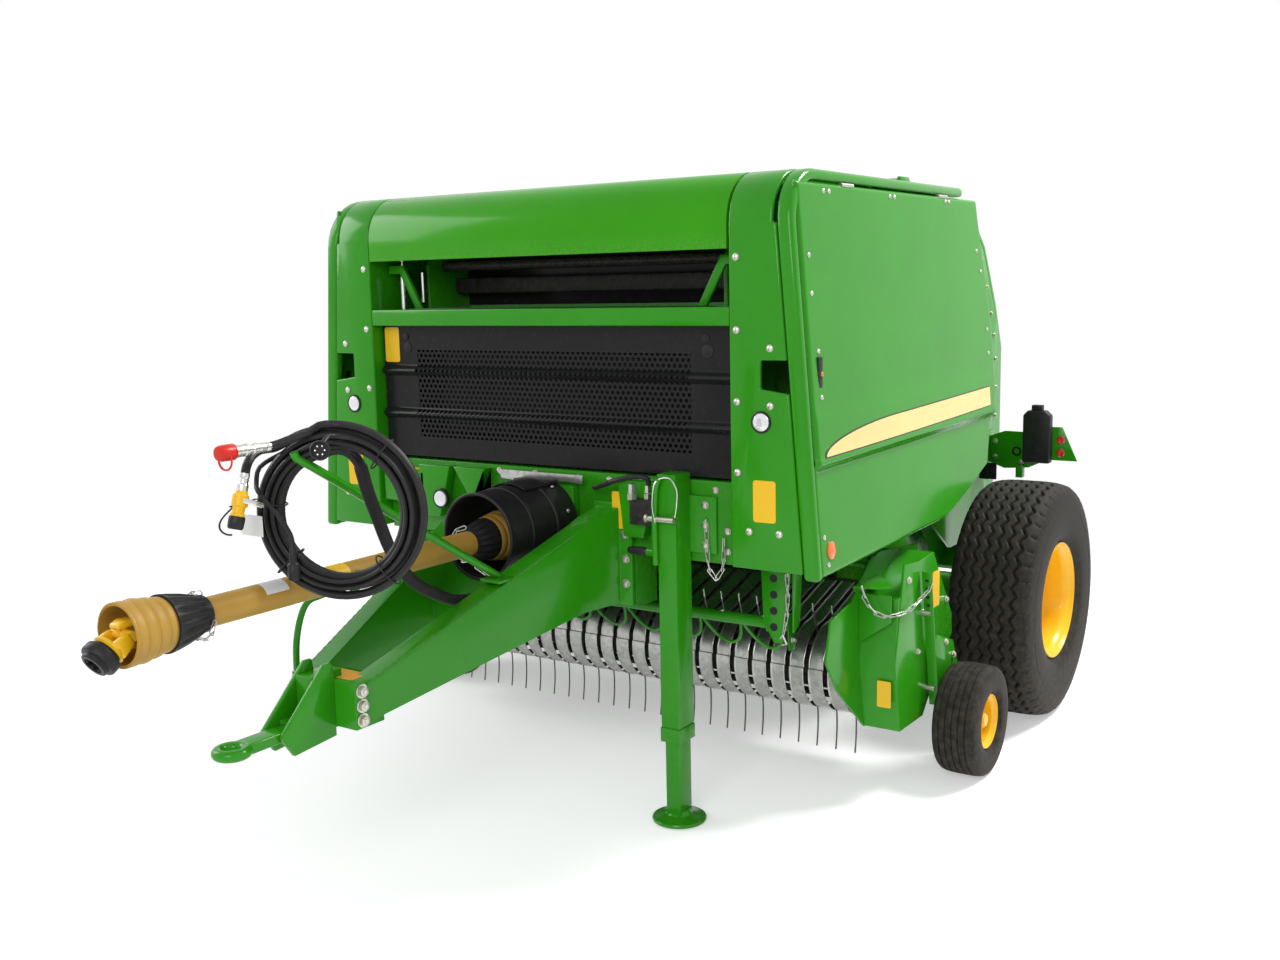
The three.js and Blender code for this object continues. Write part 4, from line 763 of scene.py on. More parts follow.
decal_white = finish("decal_white", (0.72, 0.72, 0.70), 0.35, dust=0.15, grain=300, bump=0.0001)
stripe_cream = finish("stripe_cream", (0.92, 0.66, 0.24), 0.26, dust=0.06, grain=300,
    bump=0.0001, coat=0.4)
stripe_dark = finish("stripe_dark", (0.02, 0.03, 0.015),
    0.26, dust=0.05, grain=300, bump=0.0001)
lens_clear = finish("lens_clear", (0.78, 0.79, 0.80), 0.12, dust=0.05, grain=60, bump=0.0008,
    coat=1.0, metallic=0.35)
lens_red = finish("lens_red", (0.62, 0.012, 0.008),
    0.14, dust=0.05, grain=60, bump=0.0008, coat=1.0)
lens_orange = finish("lens_orange", (0.85, 0.16, 0.01),
    0.14, dust=0.05, grain=60, bump=0.0008, coat=1.0)
copper = finish("copper", (0.62, 0.25, 0.10),
    0.3, dust=0.1, grain=300, bump=0.0002, metallic=0.9)
chain_steel = finish("chain_steel", (0.46, 0.45, 0.42), 0.4, dust=0.3, edge_wear_and_highlight=0.3, grain=400,
    bump=0.0003, metallic=1.0)

# Galvanised sheet shows its spangle: crystals a few centimetres across in slightly different greys.
spangle_tree = galvanised.node_tree
spangle_place = spangle_tree.nodes.new("ShaderNodeTexCoord").outputs["Object"]
crystals = spangle_tree.nodes.new("ShaderNodeTexVoronoi")
crystals.inputs["Scale"].default_value = 70
link(spangle_tree, spangle_place, crystals.inputs["Vector"])
crystal_grey = spangle_tree.nodes.new("ShaderNodeSeparateColor")
link(spangle_tree, crystals.outputs["Color"], crystal_grey.inputs[0])
spangle = blend_colour(spangle_tree, ramp(spangle_tree, crystal_grey.outputs["Red"], 0, 1, 0.0, 0.55),
    spangle_tree.nodes["weather"].outputs["Colour"], (0.26, 0.27, 0.28))
link(spangle_tree, spangle, spangle_tree.nodes["Principled BSDF"].inputs["Base Color"])


def softened(name, node, body, material, width, segments=2):
    """A pressed or welded part: its solid with the corners merged, flats cleaned and edges rounded."""
    piece = copy_of(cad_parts[node], Matrix.Identity(4))
    piece.parent = None
    for key in list(piece.keys()):
        del piece[key]
    for modifier in list(piece.modifiers):
        piece.modifiers.remove(modifier)
    only(piece)
    bpy.ops.object.mode_set(mode="EDIT")
    bpy.ops.mesh.select_all(action="SELECT")
    bpy.ops.mesh.remove_doubles(threshold=0.00005)
    bpy.ops.mesh.customdata_custom_splitnormals_clear()
    bpy.ops.mesh.dissolve_limited(angle_limit=math.radians(0.4), delimit=set())
    bpy.ops.mesh.select_all(action="SELECT")
    bpy.ops.mesh.normals_make_consistent(inside=False)
    bpy.ops.object.mode_set(mode="OBJECT")
    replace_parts(hold(rounded(piece, width, segments), name, body, material), node)


sides = (("left", 1), ("right", -1))

# ---------- Chamber, tailgate and roof ----------
# The bale chamber's welded side walls with their rollers, and the rear half that swings up on its
# pivots to drop the bale. All are pressed and welded steel in the body's green.

softened("chamber_front_welded", "chamber_front", "chassis", frame_green, 0.003)
softened("tailgate_welded", "tailgate", "tailgate", body_green, 0.004)
softened("roof_sheet", "roof", "chassis", body_green, 0.005, 3)

for side, sign in sides:
    # bolted flange where the tailgate's skin laps its side sheet
    places = []
    for y, z in ((1.62, 1.905), (1.72, 1.89), (1.86, 1.86), (1.94, 1.795), (2.03, 1.715), (2.10, 1.60),
            (2.16, 1.49), (2.20, 1.40), (2.225, 1.30), (2.235, 1.18), (2.235, 1.06), (2.225, 0.94),
            (2.17, 0.80), (2.12, 0.67)):
        places.append((at(sign * 0.7205, y - 0.03, z - 0.02), (sign, 0, 0), 0.008))
    fasteners("tailgate_flange_bolts_" + side, "tailgate", places)
    ear = plate(((1.42, 1.935), (1.46, 1.975), (1.50, 1.99), (1.56, 1.985), (1.74, 1.90), (1.76, 1.86),
        (1.42, 1.86)), "YZ", sign * 0.560 - 0.006, sign * 0.560 + 0.006, 0.002)
    hold(ear, "tailgate_pivot_ear_" + side, "chassis", body_green)
    pivot = turned([(-0.010, 0), (-0.010, 0.026), (0.014, 0.026), (0.018, 0.022), (0.018, 0)],
        at(sign * 0.556, 1.50, 1.946), "X", 24)
    hold(pivot, "tailgate_pivot_pin_" + side, "chassis", zinc_plate)
    strap = plate(((1.50, 1.99), (1.505, 1.995), (1.76, 1.895), (1.755, 1.885)), "YZ", sign * 0.55 - 0.02,
        sign * 0.55 + 0.02, 0.001)
    hold(strap, "tailgate_strap_" + side, "tailgate", galvanised)

# ---------- Hood ----------
# A curved pressed sheet that lifts for access to the net roll, hinged at its rear edge. Its paint is
# brighter than the body's; two small rubber stops and its rear pins show on top.

softened("hood_sheet", "hood", "hood", hood_green, 0.004, 3)
for k, x in enumerate((-0.42, 0.42)):
    stop = turned([(0, 0), (0, 0.014), (0.006, 0.013), (0.010, 0.009), (0.011, 0)], at(x, 0.405, 1.930),
        "Z", 20)
    hold(stop, "hood_stop_%d" % (k + 1), "hood", black_plastic)

# ---------- Fascia columns and rounded body edges ----------
# Two bent sheet columns stand either side of the net box, and a glossy tube-like edge joins each to
# its side door. Zinc bolts hold them; each carries a clear round reflector and a blank decal.

for side, sign in sides:
    softened("fascia_column_sheet_" + side, "fascia_column_" + side, "chassis", body_green, 0.006, 3)
    softened("body_rim_sheet_" + side, "body_rim_" + side, "chassis", body_green, 0.013, 4)
    places = [(at(sign * x, 0, z), (0, -1, 0), 0.0085) for x, z in ((0.724, 1.690), (0.724, 1.488),
        (0.724, 1.287), (0.724, 1.086), (0.830, 1.438), (0.830, 1.278), (0.760, 0.918), (0.856, 0.918))]
    fasteners("fascia_bolts_" + side, "chassis", places, kind="dome")
    lens = turned([(0.001, 0.020), (0.0, 0.031), (-0.004, 0.031), (-0.006, 0.028), (-0.006, 0.0262),
        (0.001, 0.0262)], at(sign * 0.801, 0, 1.232), "Y", 36)
    hold(lens, "reflector_ring_" + side, "chassis", black_plastic)
    glass = turned([(0, 0), (0, 0.0265), (-0.0035, 0.0262), (-0.0062, 0.020), (-0.0072, 0.010),
        (-0.0075, 0)], at(sign * 0.801, 0, 1.232), "Y", 36)
    hold(glass, "reflector_lens_" + side, "chassis", lens_clear)


def decal(name, body, corner, width, height, along=(1, 0, 0), up=(0, 0, 1), material=decal_yellow):
    """A blank self-adhesive plate with rounded corners, lying just off its surface."""
    thickness = 0.0006
    along, up = Vector(along).normalized(), Vector(up).normalized()
    out = along.cross(up)
    clear()
    bpy.ops.mesh.primitive_cube_add(size=1)
    piece = bpy.context.object
    piece.scale = (width, height, thickness)
    bpy.ops.object.transform_apply(location=True, rotation=True, scale=True)
    corners = piece.modifiers.new("corners", "BEVEL")
    corners.width = min(width, height) * 0.12
    corners.segments = 4
    corners.use_clamp_overlap = True
    weights = piece.data.attributes.new("bevel_weight_edge", "FLOAT", "EDGE")
    for edge_line in piece.data.edges:
        a, b = (piece.data.vertices[k].co for k in edge_line.vertices)
        weights.data[edge_line.index].value = 1.0 if abs(a.z - b.z) > thickness / 2 else 0.0
    corners.limit_method = "WEIGHT"
    apply_all(piece)
    turn = Matrix((along, up, out)).transposed().to_4x4()
    middle = Vector(corner) + along * width / 2 + up * height / 2 + out * thickness / 2
    piece.data.transform(Matrix.Translation(middle) @ turn)
    hold(closed_up(piece), name, body, material)


decal("column_decal_left", "chassis", at(0.773, -0.0002, 0.947), 0.072, 0.120)
decal("column_decal_right", "chassis", at(-0.845, -0.0002, 0.947), 0.072, 0.120)

# ---------- Side doors ----------
# Large pressed doors with a fold across the middle, a flat lower panel and a bowed rear edge. They
# lift on hinges along their top edge. A cream stripe sweeps back from a point under the fold.

DOOR_TOP_Z = 1.893
DOOR_FRONT_Y = 0.042
DOOR_REAR_Y = 1.458
FOLD_Z = 1.11
SIDE_TOP_X = 0.890
SIDE_LEAN = 0.081


def door_rear(z):
    """The rear edge of a door, bowed out about halfway up."""
    if z >= 1.33:
        t = max(0, min(1, (DOOR_TOP_Z - z) / (DOOR_TOP_Z - 1.33)))
        return DOOR_REAR_Y + 0.090 * math.sin(t * math.pi / 2) ** 1.4
    t = min(1, (1.33 - z) / (1.33 - 0.93))
    return DOOR_REAR_Y + 0.090 * (1 - t ** 1.7) - 0.016 * t


def door_low(y):
    """The lower edge: level, then swept up over the wheel."""
    if y <= 1.02:
        return 0.790 + 0.022 * max(0, (y - 0.1) / 0.92)
    t = (y - 1.02) / (1.55 - 1.02)
    return 0.812 + 0.140 * min(1, t) ** 1.25


def door_face(sign, y, z, lift=0.0):
    """A point on a door's outer face."""
    x = SIDE_TOP_X + SIDE_LEAN * (DOOR_TOP_Z - z)
    fold_z = FOLD_Z - 0.010 + 0.020 * (y - DOOR_FRONT_Y) / (DOOR_REAR_Y - DOOR_FRONT_Y)
    fold = 1 / (1 + math.exp(-(z - fold_z) / 0.0040))
    x += -0.012 * (1 - fold) + 0.0035 * math.exp(-((z - fold_z - 0.016) / 0.012) ** 2)
    crease_z = fold_z + 0.150
    x += 0.005 / (1 + math.exp(-(crease_z - z) / 0.006)) * fold
    near = min(y - DOOR_FRONT_Y, door_rear(z) - y, DOOR_TOP_Z - z, z - door_low(y))
    roll = 0.014
    if near < roll:
        x -= roll - math.sqrt(max(0, roll ** 2 - (roll - max(near, 0)) ** 2))
    return at(sign * (x + lift), y, z)


def graded(count, step):
    """Parameters from 0 to 1 with four fine steps near both ends."""
    fine = [step * k / 4 for k in range(4)]
    return fine + [step + (1 - 2 * step) * k / count
        for k in range(count + 1)] + [1 - f for f in reversed(fine)]


for side, sign in sides:
    columns = graded(70, 0.012)
    rows = sorted(graded(60, 0.014) + [0.260 + 0.0024 * k for k in range(36)])

    def on_door(column, row):
        y0 = DOOR_FRONT_Y + (DOOR_REAR_Y - DOOR_FRONT_Y) * columns[column]
        low = door_low(y0 + 0.09 * columns[column])
        z = low + (DOOR_TOP_Z - low) * rows[row]
        y = DOOR_FRONT_Y + (door_rear(z) - DOOR_FRONT_Y) * columns[column]
        return door_face(sign, y, z)

    door = grid_shell(len(columns) - 1, len(rows) - 1, on_door)
    only(door)
    bpy.ops.object.mode_set(mode="EDIT")
    bpy.ops.mesh.select_all(action="SELECT")
    bpy.ops.mesh.normals_make_consistent(inside=False)
    bpy.ops.object.mode_set(mode="OBJECT")
    middle_face = min(door.data.polygons, key=lambda face: (face.center - at(sign * 0.93, 0.7, 1.4)).length)
    if middle_face.normal.x * sign < 0:
        only(door)
        bpy.ops.object.mode_set(mode="EDIT")
        bpy.ops.mesh.select_all(action="SELECT")
        bpy.ops.mesh.flip_normals()
        bpy.ops.object.mode_set(mode="OBJECT")
    walled(door, 0.006, -1)
    bpy.ops.object.shade_smooth_by_angle(angle=math.radians(40))
    hold(door, "side_door_sheet_" + side, "door_" + side, body_green)
    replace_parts(door, "side_door_" + side)
    ribs = [block(at(sign * 0.888 - 0.012, 0.10, z - 0.02), at(sign * 0.888 + 0.012, 1.40, z + 0.02), 0.004)
        for z in (1.30, 1.62)]
    hold(join(ribs), "side_door_stiffeners_" + side, "door_" + side, frame_green)
    knuckles = [turned([(-0.04, 0), (-0.04, 0.006), (0.04, 0.006), (0.04, 0)], at(sign * 0.886, y, 1.8922),
        "Y", 16) for y in (0.37, 1.13)]
    hold(join(knuckles), "side_door_hinges_" + side, "door_" + side, zinc_plate)

    def stripe(name, grow, lift, material):
        """The swept stripe: a crescent from a point to a broad end at the door's rear edge."""
        def on_stripe(column, row):
            t = (column / 60) ** 1.6
            y = 0.093 - grow * 2.5 + (1.4585 - 0.093 + grow * 2.5) * t
            low = 1.131 + 0.027 * t ** 1.3 - grow
            swell = min(1, t / 0.38)
            high = low + 0.066 * math.sqrt(swell * (2 - swell)) + 2 * grow
            z = low + (high - low) * row / 6
            return door_face(sign, min(y, door_rear(z) - 0.012), z, lift)

        piece = grid_shell(60, 6, on_stripe)
        closed_up(walled(piece, 0.0008))
        bpy.ops.object.shade_smooth_by_angle(angle=math.radians(40))
        hold(piece, name, "door_" + side, material)

    stripe("side_door_stripe_edge_" + side, 0.0035, 0.0005, stripe_dark)
    stripe("side_door_stripe_" + side, 0.0, 0.0011, stripe_cream)

    out = Vector((sign, 0, SIDE_LEAN)).normalized()
    recess = block((-0.013, -0.050, -0.004), (0.013, 0.050, 0.003), 0.0115, 5)
    turn = (Matrix.Translation(door_face(sign, 0.100, 1.361))
        @ Matrix(((0, 0, sign), (sign, 0, 0), (0, 1, 0))).to_4x4())
    recess.data.transform(turn)
    hold(recess, "latch_slot_" + side, "door_" + side, black_plastic)
    latch_pin = turned([(0, 0), (0, 0.007), (0.004, 0.007), (0.006, 0.0055), (0.0065, 0)], (0, 0, 0), "Z",
        16)
    latch_pin.data.transform(Matrix.Translation(door_face(sign, 0.100, 1.361, 0.003)) @ turn_to(out))
    hold(latch_pin, "latch_pin_" + side, "door_" + side, copper)
    places = [(door_face(sign, y, z), out, 0.0062) for y, z in ((0.205, 1.869), (0.240, 1.869),
        (0.674, 1.873), (0.708, 1.873), (1.146, 1.876), (1.180, 1.876), (0.085, 1.690), (0.085, 1.585),
        (0.100, 1.425), (0.100, 1.297), (1.425, 1.713), (1.455, 1.640), (1.485, 1.430), (1.485, 1.345),
        (0.075, 0.905), (0.090, 0.825))]
    fasteners("side_door_screws_" + side, "door_" + side, places, kind="dome")
    marker = turned([(0, 0), (0, 0.026), (0.003, 0.026), (0.006, 0.022), (0.0075, 0.012), (0.008, 0)],
        (0, 0, 0), "Z", 32)
    marker.data.transform(Matrix.Translation(door_face(sign, 0.112, 0.862)) @ turn_to(out))
    hold(marker, "side_marker_" + side, "door_" + side, lens_orange)

# ---------- Net box: cross bar, perforated panel and the space behind the hood ----------
# A black perforated sheet with two folded ridges closes the front below a green cross bar. The box
# above it, where the net roll goes in, shows a gas strut and two folded brackets.

softened("cross_bar_folded", "cross_bar", "chassis", body_green, 0.005, 3)

HOLE_PITCH = 0.0196
HOLE_R = 0.0062
ROW_STEP = HOLE_PITCH * math.sqrt(3) / 2
HOLES_IN_ROW = 56
HOLE_ROWS = 18
PUNCHED_LOW_Z = 1.118
PANEL_LOW_Z = 1.0565
PANEL_TOP_Z = 1.498
PANEL_HALF_X = 0.694
RIDGES_Z = (1.347, 1.202)


def panel_y(z):
    """The panel's face, which stands forward at its two ridges and turns out at its foot."""
    y = 0.052
    for ridge in RIDGES_Z:
        y -= 0.019 * max(0, 1 - abs(z - ridge) / 0.017) ** 0.8
    return y


def panel_place(x, z):
    return at(x, panel_y(z), z)


clear()
bpy.ops.mesh.primitive_circle_add(vertices=12, radius=HOLE_R)
hole_ring = bpy.context.object
clear()
bpy.ops.mesh.primitive_circle_add(vertices=12, radius=HOLE_PITCH / 2)
cell_ring = bpy.context.object
for vertex in cell_ring.data.vertices:
    turn = math.atan2(vertex.co.y, vertex.co.x)
    vertex.co /= max(math.cos(turn - k * math.pi / 3) for k in range(6))
cell = join([hole_ring, cell_ring])
only(cell)
bpy.ops.object.mode_set(mode="EDIT")
bpy.ops.mesh.select_all(action="SELECT")
bpy.ops.mesh.bridge_edge_loops()
bpy.ops.object.mode_set(mode="OBJECT")
for name, count, offset in (("row", HOLES_IN_ROW, (HOLE_PITCH, 0, 0)),
        ("pair", 2, (HOLE_PITCH / 2, ROW_STEP, 0)), ("rows", HOLE_ROWS // 2, (0, 2 * ROW_STEP, 0))):
    array = cell.modifiers.new(name, "ARRAY")
    array.count = count
    array.use_relative_offset = False
    array.use_constant_offset = True
    array.constant_offset_displace = offset
    array.use_merge_vertices = True
    array.merge_threshold = 0.0003
apply_all(cell)
left_x = -(HOLES_IN_ROW - 0.5) * HOLE_PITCH / 2
for vertex in cell.data.vertices:
    vertex.co = panel_place(left_x + vertex.co.x, PUNCHED_LOW_Z + ROW_STEP / 2 + vertex.co.y)
strips = []
edge_x = HOLES_IN_ROW * HOLE_PITCH / 2 - HOLE_PITCH * 0.35
top_z = PUNCHED_LOW_Z + HOLE_ROWS * ROW_STEP - 0.006
for x0, x1, z0, z1 in ((-PANEL_HALF_X, -edge_x, PANEL_LOW_Z, PANEL_TOP_Z),
        (edge_x, PANEL_HALF_X, PANEL_LOW_Z, PANEL_TOP_Z), (-edge_x, edge_x, PANEL_LOW_Z, PUNCHED_LOW_Z
        + 0.006), (-edge_x, edge_x, top_z, PANEL_TOP_Z)):
    rows = max(2, round((z1 - z0) / 0.004))
    strips.append(grid_shell(2, rows, lambda column, row: panel_place(x0 + (x1 - x0) * column / 2, z0
        + (z1 - z0) * row / rows) - Vector((0, 0.0008, 0))))
panel = walled(join([cell, *strips]), 0.0018)
bpy.ops.object.shade_smooth_by_angle(angle=math.radians(50))
hold(panel, "net_guard_perforated", "chassis", black_satin)
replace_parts(panel, "net_guard_panel")
lip = plate([(0.052, 1.0565), (0.104, 1.0565), (0.104, 1.0595), (0.052, 1.0595)], "YZ", -PANEL_HALF_X,
    PANEL_HALF_X, 0.0008)
hold(lip, "net_guard_lip", "chassis", black_satin)
keyholes = []
for x in (-0.585, 0.600):
    keyholes.append(turned([(0, 0), (0, 0.019), (-0.002, 0.019), (-0.003, 0.016), (-0.003, 0)],
        at(x, 0.0505, 1.425), "Y", 28))
    keyholes.append(turned([(0, 0), (0, 0.012), (-0.003, 0.012), (-0.0035, 0.010), (-0.0035, 0)],
        at(x - 0.006, 0.0505, 1.462), "Y", 24))
hold(join(keyholes), "net_guard_plugs", "chassis", black_plastic)
# A matt black sheet behind the perforated panel: painted shade, so that the holes read dark.
shade_sheet = plate([(-0.69, 1.075), (0.69, 1.075), (0.69, 1.49), (-0.69, 1.49)], "XZ", 0.100, 0.102, 0.0005)
hold(shade_sheet, "net_guard_shade_sheet", "chassis", black_satin)
decal("net_guard_decal", "chassis", at(-0.688, 0.0495, 1.375), 0.066, 0.118)

# the gas strut that holds the hood up, and its neighbour
strut = join([turned([(0, 0), (0, 0.011), (0.11, 0.011), (0.112, 0.0095), (0.114, 0)],
    at(-0.655, 0.115, 1.553), "Z", 20), turned([(0.11, 0), (0.11, 0.0045), (0.165, 0.0045), (0.165, 0)],
    at(-0.655, 0.115, 1.553), "Z", 14), turned([(0.160, 0), (0.160, 0.011), (0.180, 0.011), (0.184, 0.006),
    (0.184, 0)], at(-0.655, 0.115, 1.553), "Z", 16)])
hold(strut, "hood_gas_strut", "chassis", bright_steel)
rod_two = turned([(0, 0), (0, 0.006), (0.10, 0.006), (0.10, 0)], at(-0.577, 0.13, 1.575), "Z", 14)
hold(rod_two, "net_brake_rod", "chassis", bright_steel)
for side, sign in sides:
    arm = plate([(sign * 0.690, 1.700), (sign * 0.625, 1.700), (sign * 0.545, 1.553), (sign * 0.575, 1.553),
        (sign * 0.640, 1.672), (sign * 0.690, 1.672)][::sign], "XZ", 0.085, 0.100, 0.003)
    hold(arm, "net_box_bracket_" + side, "chassis", body_green)
back_wall = plate([(-0.585, 1.56), (0.585, 1.56), (0.585, 1.86), (-0.585, 1.86)], "XZ", 0.374, 0.3785, 0.002)
hold(back_wall, "net_box_back", "chassis", black_satin)
net_rail = join([block(at(-0.58, 0.30, 1.60), at(0.58, 0.345, 1.655), 0.006, 3),
    tube([at(-0.58, 0.25, 1.695), at(0.58, 0.25, 1.695)], 0.017, 20)])
hold(net_rail, "net_box_rollers", "chassis", black_steel)
floor_pan = plate([(0.062, 1.55), (0.372, 1.535), (0.372, 1.540), (0.062, 1.556)], "YZ", -0.583, 0.583,
    0.001)
hold(floor_pan, "net_box_floor", "chassis", black_satin)

# ---------- Bulkhead, gearbox cover and front plates ----------
# A welded box beam under the net box carries the drawbar, the jack and the gearbox. Triangular
# gussets stiffen it, and a bright cover plate with a torn paint edge sits over the input guard.

softened("bulkhead_welded", "bulkhead", "chassis", frame_green, 0.004)
softened("gearbox_cast", "gearbox", "chassis", frame_green, 0.008, 3)
for k, (x, lean) in enumerate(((-0.455, 1), (-0.30, -1), (0.365, 1))):
    gusset = plate([(x - 0.07, 1.035), (x + 0.07, 1.035), (x + 0.02 * lean, 0.86), (x - 0.05 * lean, 0.86)],
        "XZ", 0.012, 0.051, 0.004, 3)
    hold(gusset, "bulkhead_gusset_%d" % (k + 1), "chassis", body_green)
cover = plate([(-0.17, 1.040), (0.17, 1.040), (0.165, 1.012), (0.10, 1.018), (0.04, 1.008), (-0.02, 1.020),
    (-0.09, 1.006), (-0.155, 1.012)], "XZ", 0.006, 0.010, 0.001)
hold(cover, "gearbox_cover_plate", "chassis", galvanised)
fasteners("bulkhead_bolts", "chassis", [(at(x, 0.0515, z), (0, -1, 0), 0.0085) for x,
    z in ((-0.64, 1.02), (-0.53, 1.02), (-0.20, 1.028), (-0.05, 1.030), (0.12, 1.026), (0.24, 1.026),
    (0.62, 1.02), (0.66, 0.90), (0.66, 0.84), (-0.66, 0.90), (-0.66, 0.84))])
decal("bulkhead_decal_left", "chassis", at(0.262, 0.031, 0.880), 0.055, 0.115)
decal("bulkhead_decal_right", "chassis", at(-0.60, 0.0515, 0.925), 0.058, 0.090)
lamp_ring = turned([(0, 0), (0, 0.033), (-0.010, 0.033), (-0.013, 0.030), (-0.010, 0.028), (-0.010, 0)],
    at(-0.42, 0.010, 0.925), "Y", 36)
hold(lamp_ring, "front_lamp_ring", "chassis", black_plastic)
lamp_lens = turned([(-0.009, 0), (-0.009, 0.0275), (-0.013, 0.025), (-0.015, 0.012), (-0.0155, 0)],
    at(-0.42, 0.010, 0.925), "Y", 32)
hold(lamp_lens, "front_lamp_lens", "chassis", lens_clear)
box_small = block(at(-0.690, 0.012, 0.900), at(-0.500, 0.0515, 1.010), 0.006, 3)
hold(box_small, "net_box_link_cover", "chassis", body_green)

# hydraulic block beside the drawbar flange, with its hoses going up under the panel
valve_block = block(at(0.352, -0.010, 0.905), at(0.432, 0.0515, 0.985), 0.004)
hold(valve_block, "hydraulic_block", "chassis", black_steel)
fitting = join([turned([(0, 0), (0, 0.016), (0.018, 0.016), (0.020, 0.012), (0.046, 0.0105), (0.048, 0)],
    at(0.372, -0.02, 0.985), "Z", 6), turned([(0, 0), (0, 0.014), (0.016, 0.014), (0.018, 0.011),
    (0.040, 0.010), (0.042, 0)], at(0.410, 0.01, 0.985), "Z", 6)])
hold(fitting, "hydraulic_fittings", "chassis", bright_steel)
feed = smooth_line([at(0.410, 0.01, 1.020), at(0.410, 0.01, 1.044), at(0.380, -0.004, 1.052),
    at(0.320, -0.010, 1.040), at(0.262, -0.004, 1.020), at(0.215, 0.010, 1.006), at(0.190, 0.040, 1.0)],
    0.01)
hold(tube(feed, 0.008, 12), "hydraulic_pipe", "chassis", hose_rubber)

# ---------- Drawbar, hitch plates and towing eye ----------
# Two deep box beams meet at a hitch box; plates bolted through it carry the forged eye. Beads of
# weld run along the joints, and the corners are lighter: rubbed paint and a painted highlight.

softened("drawbar_welded", "drawbar", "chassis", body_green, 0.005, 3)
softened("hitch_plates_cut", "hitch_plates", "chassis", body_green, 0.003, 2)
places = []
for side, sign in sides:
    for z in (0.596, 0.557, 0.518):
        places.append((at(sign * 0.1185, -0.908, z), (sign, 0, 0), 0.015))
    for z in (0.863, 0.787, 0.710):
        places.append((at(sign * 0.308, 0.0312, z), (0, -1, 0), 0.012))
fasteners("drawbar_bolts", "chassis", places)
EYE_R = 0.035
EYE_BAR_R = 0.015


def on_eye(column, row):
    """A point on the towing eye's ring."""
    turn, roll = 2 * math.pi * (column % 64) / 64, 2 * math.pi * (row % 20) / 20
    reach = EYE_R + EYE_BAR_R * math.cos(roll)
    return at(reach * math.cos(turn), -1.230 + reach * math.sin(turn), 0.512 + EYE_BAR_R * math.sin(roll))


eye_ring = closed_up(grid_shell(64, 20, on_eye))
bpy.ops.object.shade_smooth()
neck = plate([(-0.030, -1.200), (0.030, -1.200), (0.029, -1.110), (0.029, -0.965), (-0.029, -0.965),
    (-0.029, -1.110)], "XY", 0.498, 0.526, 0.006, 4)
eye = hold(join([eye_ring, neck]), "towing_eye_forged", "chassis", body_green)
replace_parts(eye, "towing_eye")
for side, sign in sides:
    # a bead of weld along the top of each beam
    root, nose = at(sign * 0.2622, -0.130, 0), at(sign * 0.1182, -0.890, 0)
    along = (root - nose).normalized()
    bead = [nose + along * 0.012 * k + Vector((sign * 0.001, 0, 0.6095 + 0.00452 * k)) for k in range(62)]
    hold(tube([p + Vector((0, 0, 0.0008 * (-1) ** k)) for k, p in enumerate(bead)], 0.0032, 8),
        "drawbar_weld_" + side, "chassis", frame_green)

decal("hitch_box_decal", "chassis", at(-0.058, -0.912, 0.6202), 0.145, 0.066, up=(0, 1, 0),
    material=decal_orange)

# ---------- Jack ----------
# A square tube bolted to the bulkhead, with a sliding inner leg and a dished foot. The crank handle
# lies along its side, a wire clip holds the locking pin, and a blank data plate is riveted beside it.

softened("jack_tube_square", "jack_tube", "chassis", body_green, 0.005, 3)
JACK_X = 0.506
JACK_Y = 0.002
leg = block(at(JACK_X - 0.025, JACK_Y - 0.035, 0.014), at(JACK_X + 0.025, JACK_Y + 0.035, 0.585), 0.005, 3)
foot = turned([(0.0, 0), (0.0, 0.076), (0.003, 0.082), (0.009, 0.0835), (0.013, 0.081), (0.016, 0.060),
    (0.022, 0.040), (0.034, 0.031), (0.034, 0)], at(JACK_X, JACK_Y, 0), "Z", 56)
leg = hold(join([leg, foot]), "jack_leg_and_foot", "jack", body_green)
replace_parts(leg, "jack_leg")
collar = join([block(at(JACK_X + x0, JACK_Y + y0, 0.256), at(JACK_X + 0.034, JACK_Y + y1, 0.300), 0.0015)
    for x0, y0, y1 in ((-0.034, -0.045, -0.0405), (0.0305, -0.044, 0.044))])
hold(collar, "jack_tube_collar", "chassis", body_green)
crank = tube(smooth_line([at(0.470, -0.048, 0.800), at(0.470, -0.050, 0.880), at(0.472, -0.052, 0.960),
    at(0.480, -0.056, 1.030), at(0.492, -0.058, 1.060)], 0.012), 0.009, 16)
hold(crank, "jack_side_rod", "chassis", body_green)
wire = tube(smooth_line([at(0.534, -0.042, 0.940), at(0.548, -0.052, 0.985), at(0.548, -0.050, 1.030),
    at(0.520, -0.048, 1.062), at(0.486, -0.066, 1.050), at(0.474, -0.068, 0.985), at(0.482, -0.066, 0.930)],
    0.008), 0.0022, 8)
hold(wire, "jack_wire_clip", "chassis", bright_steel)
pin = turned([(-0.02, 0), (-0.02, 0.013), (-0.012, 0.013), (-0.010, 0.009), (0.078, 0.009), (0.080, 0)],
    at(0.460, -0.05, 0.938), "X", 20)
hold(pin, "jack_lock_pin", "chassis", zinc_plate)
knob = turned([(0, 0), (0, 0.010), (0.012, 0.0125), (0.050, 0.0135), (0.064, 0.012), (0.070, 0.008),
    (0.072, 0)], at(0.345, -0.004, 0.826), "X", 24)
hold(knob, "jack_handle_grip", "chassis", black_plastic)
decal("jack_data_plate", "chassis", at(0.345, 0.0512, 1.000), 0.062, 0.036, material=decal_white)
fasteners("jack_bolts", "chassis", [(at(x, 0.0412, z), (0, -1, 0), 0.010) for x,
    z in ((0.590, 0.975), (0.590, 0.915), (0.590, 0.855))])

# ---------- Drive shaft ----------
# A telescopic shaft in an ochre plastic guard tube. Black fluted cones and ribbed ochre bells cover
# its joints, chains stop the guard from turning, and the yellow yoke ends in a black splined collar.

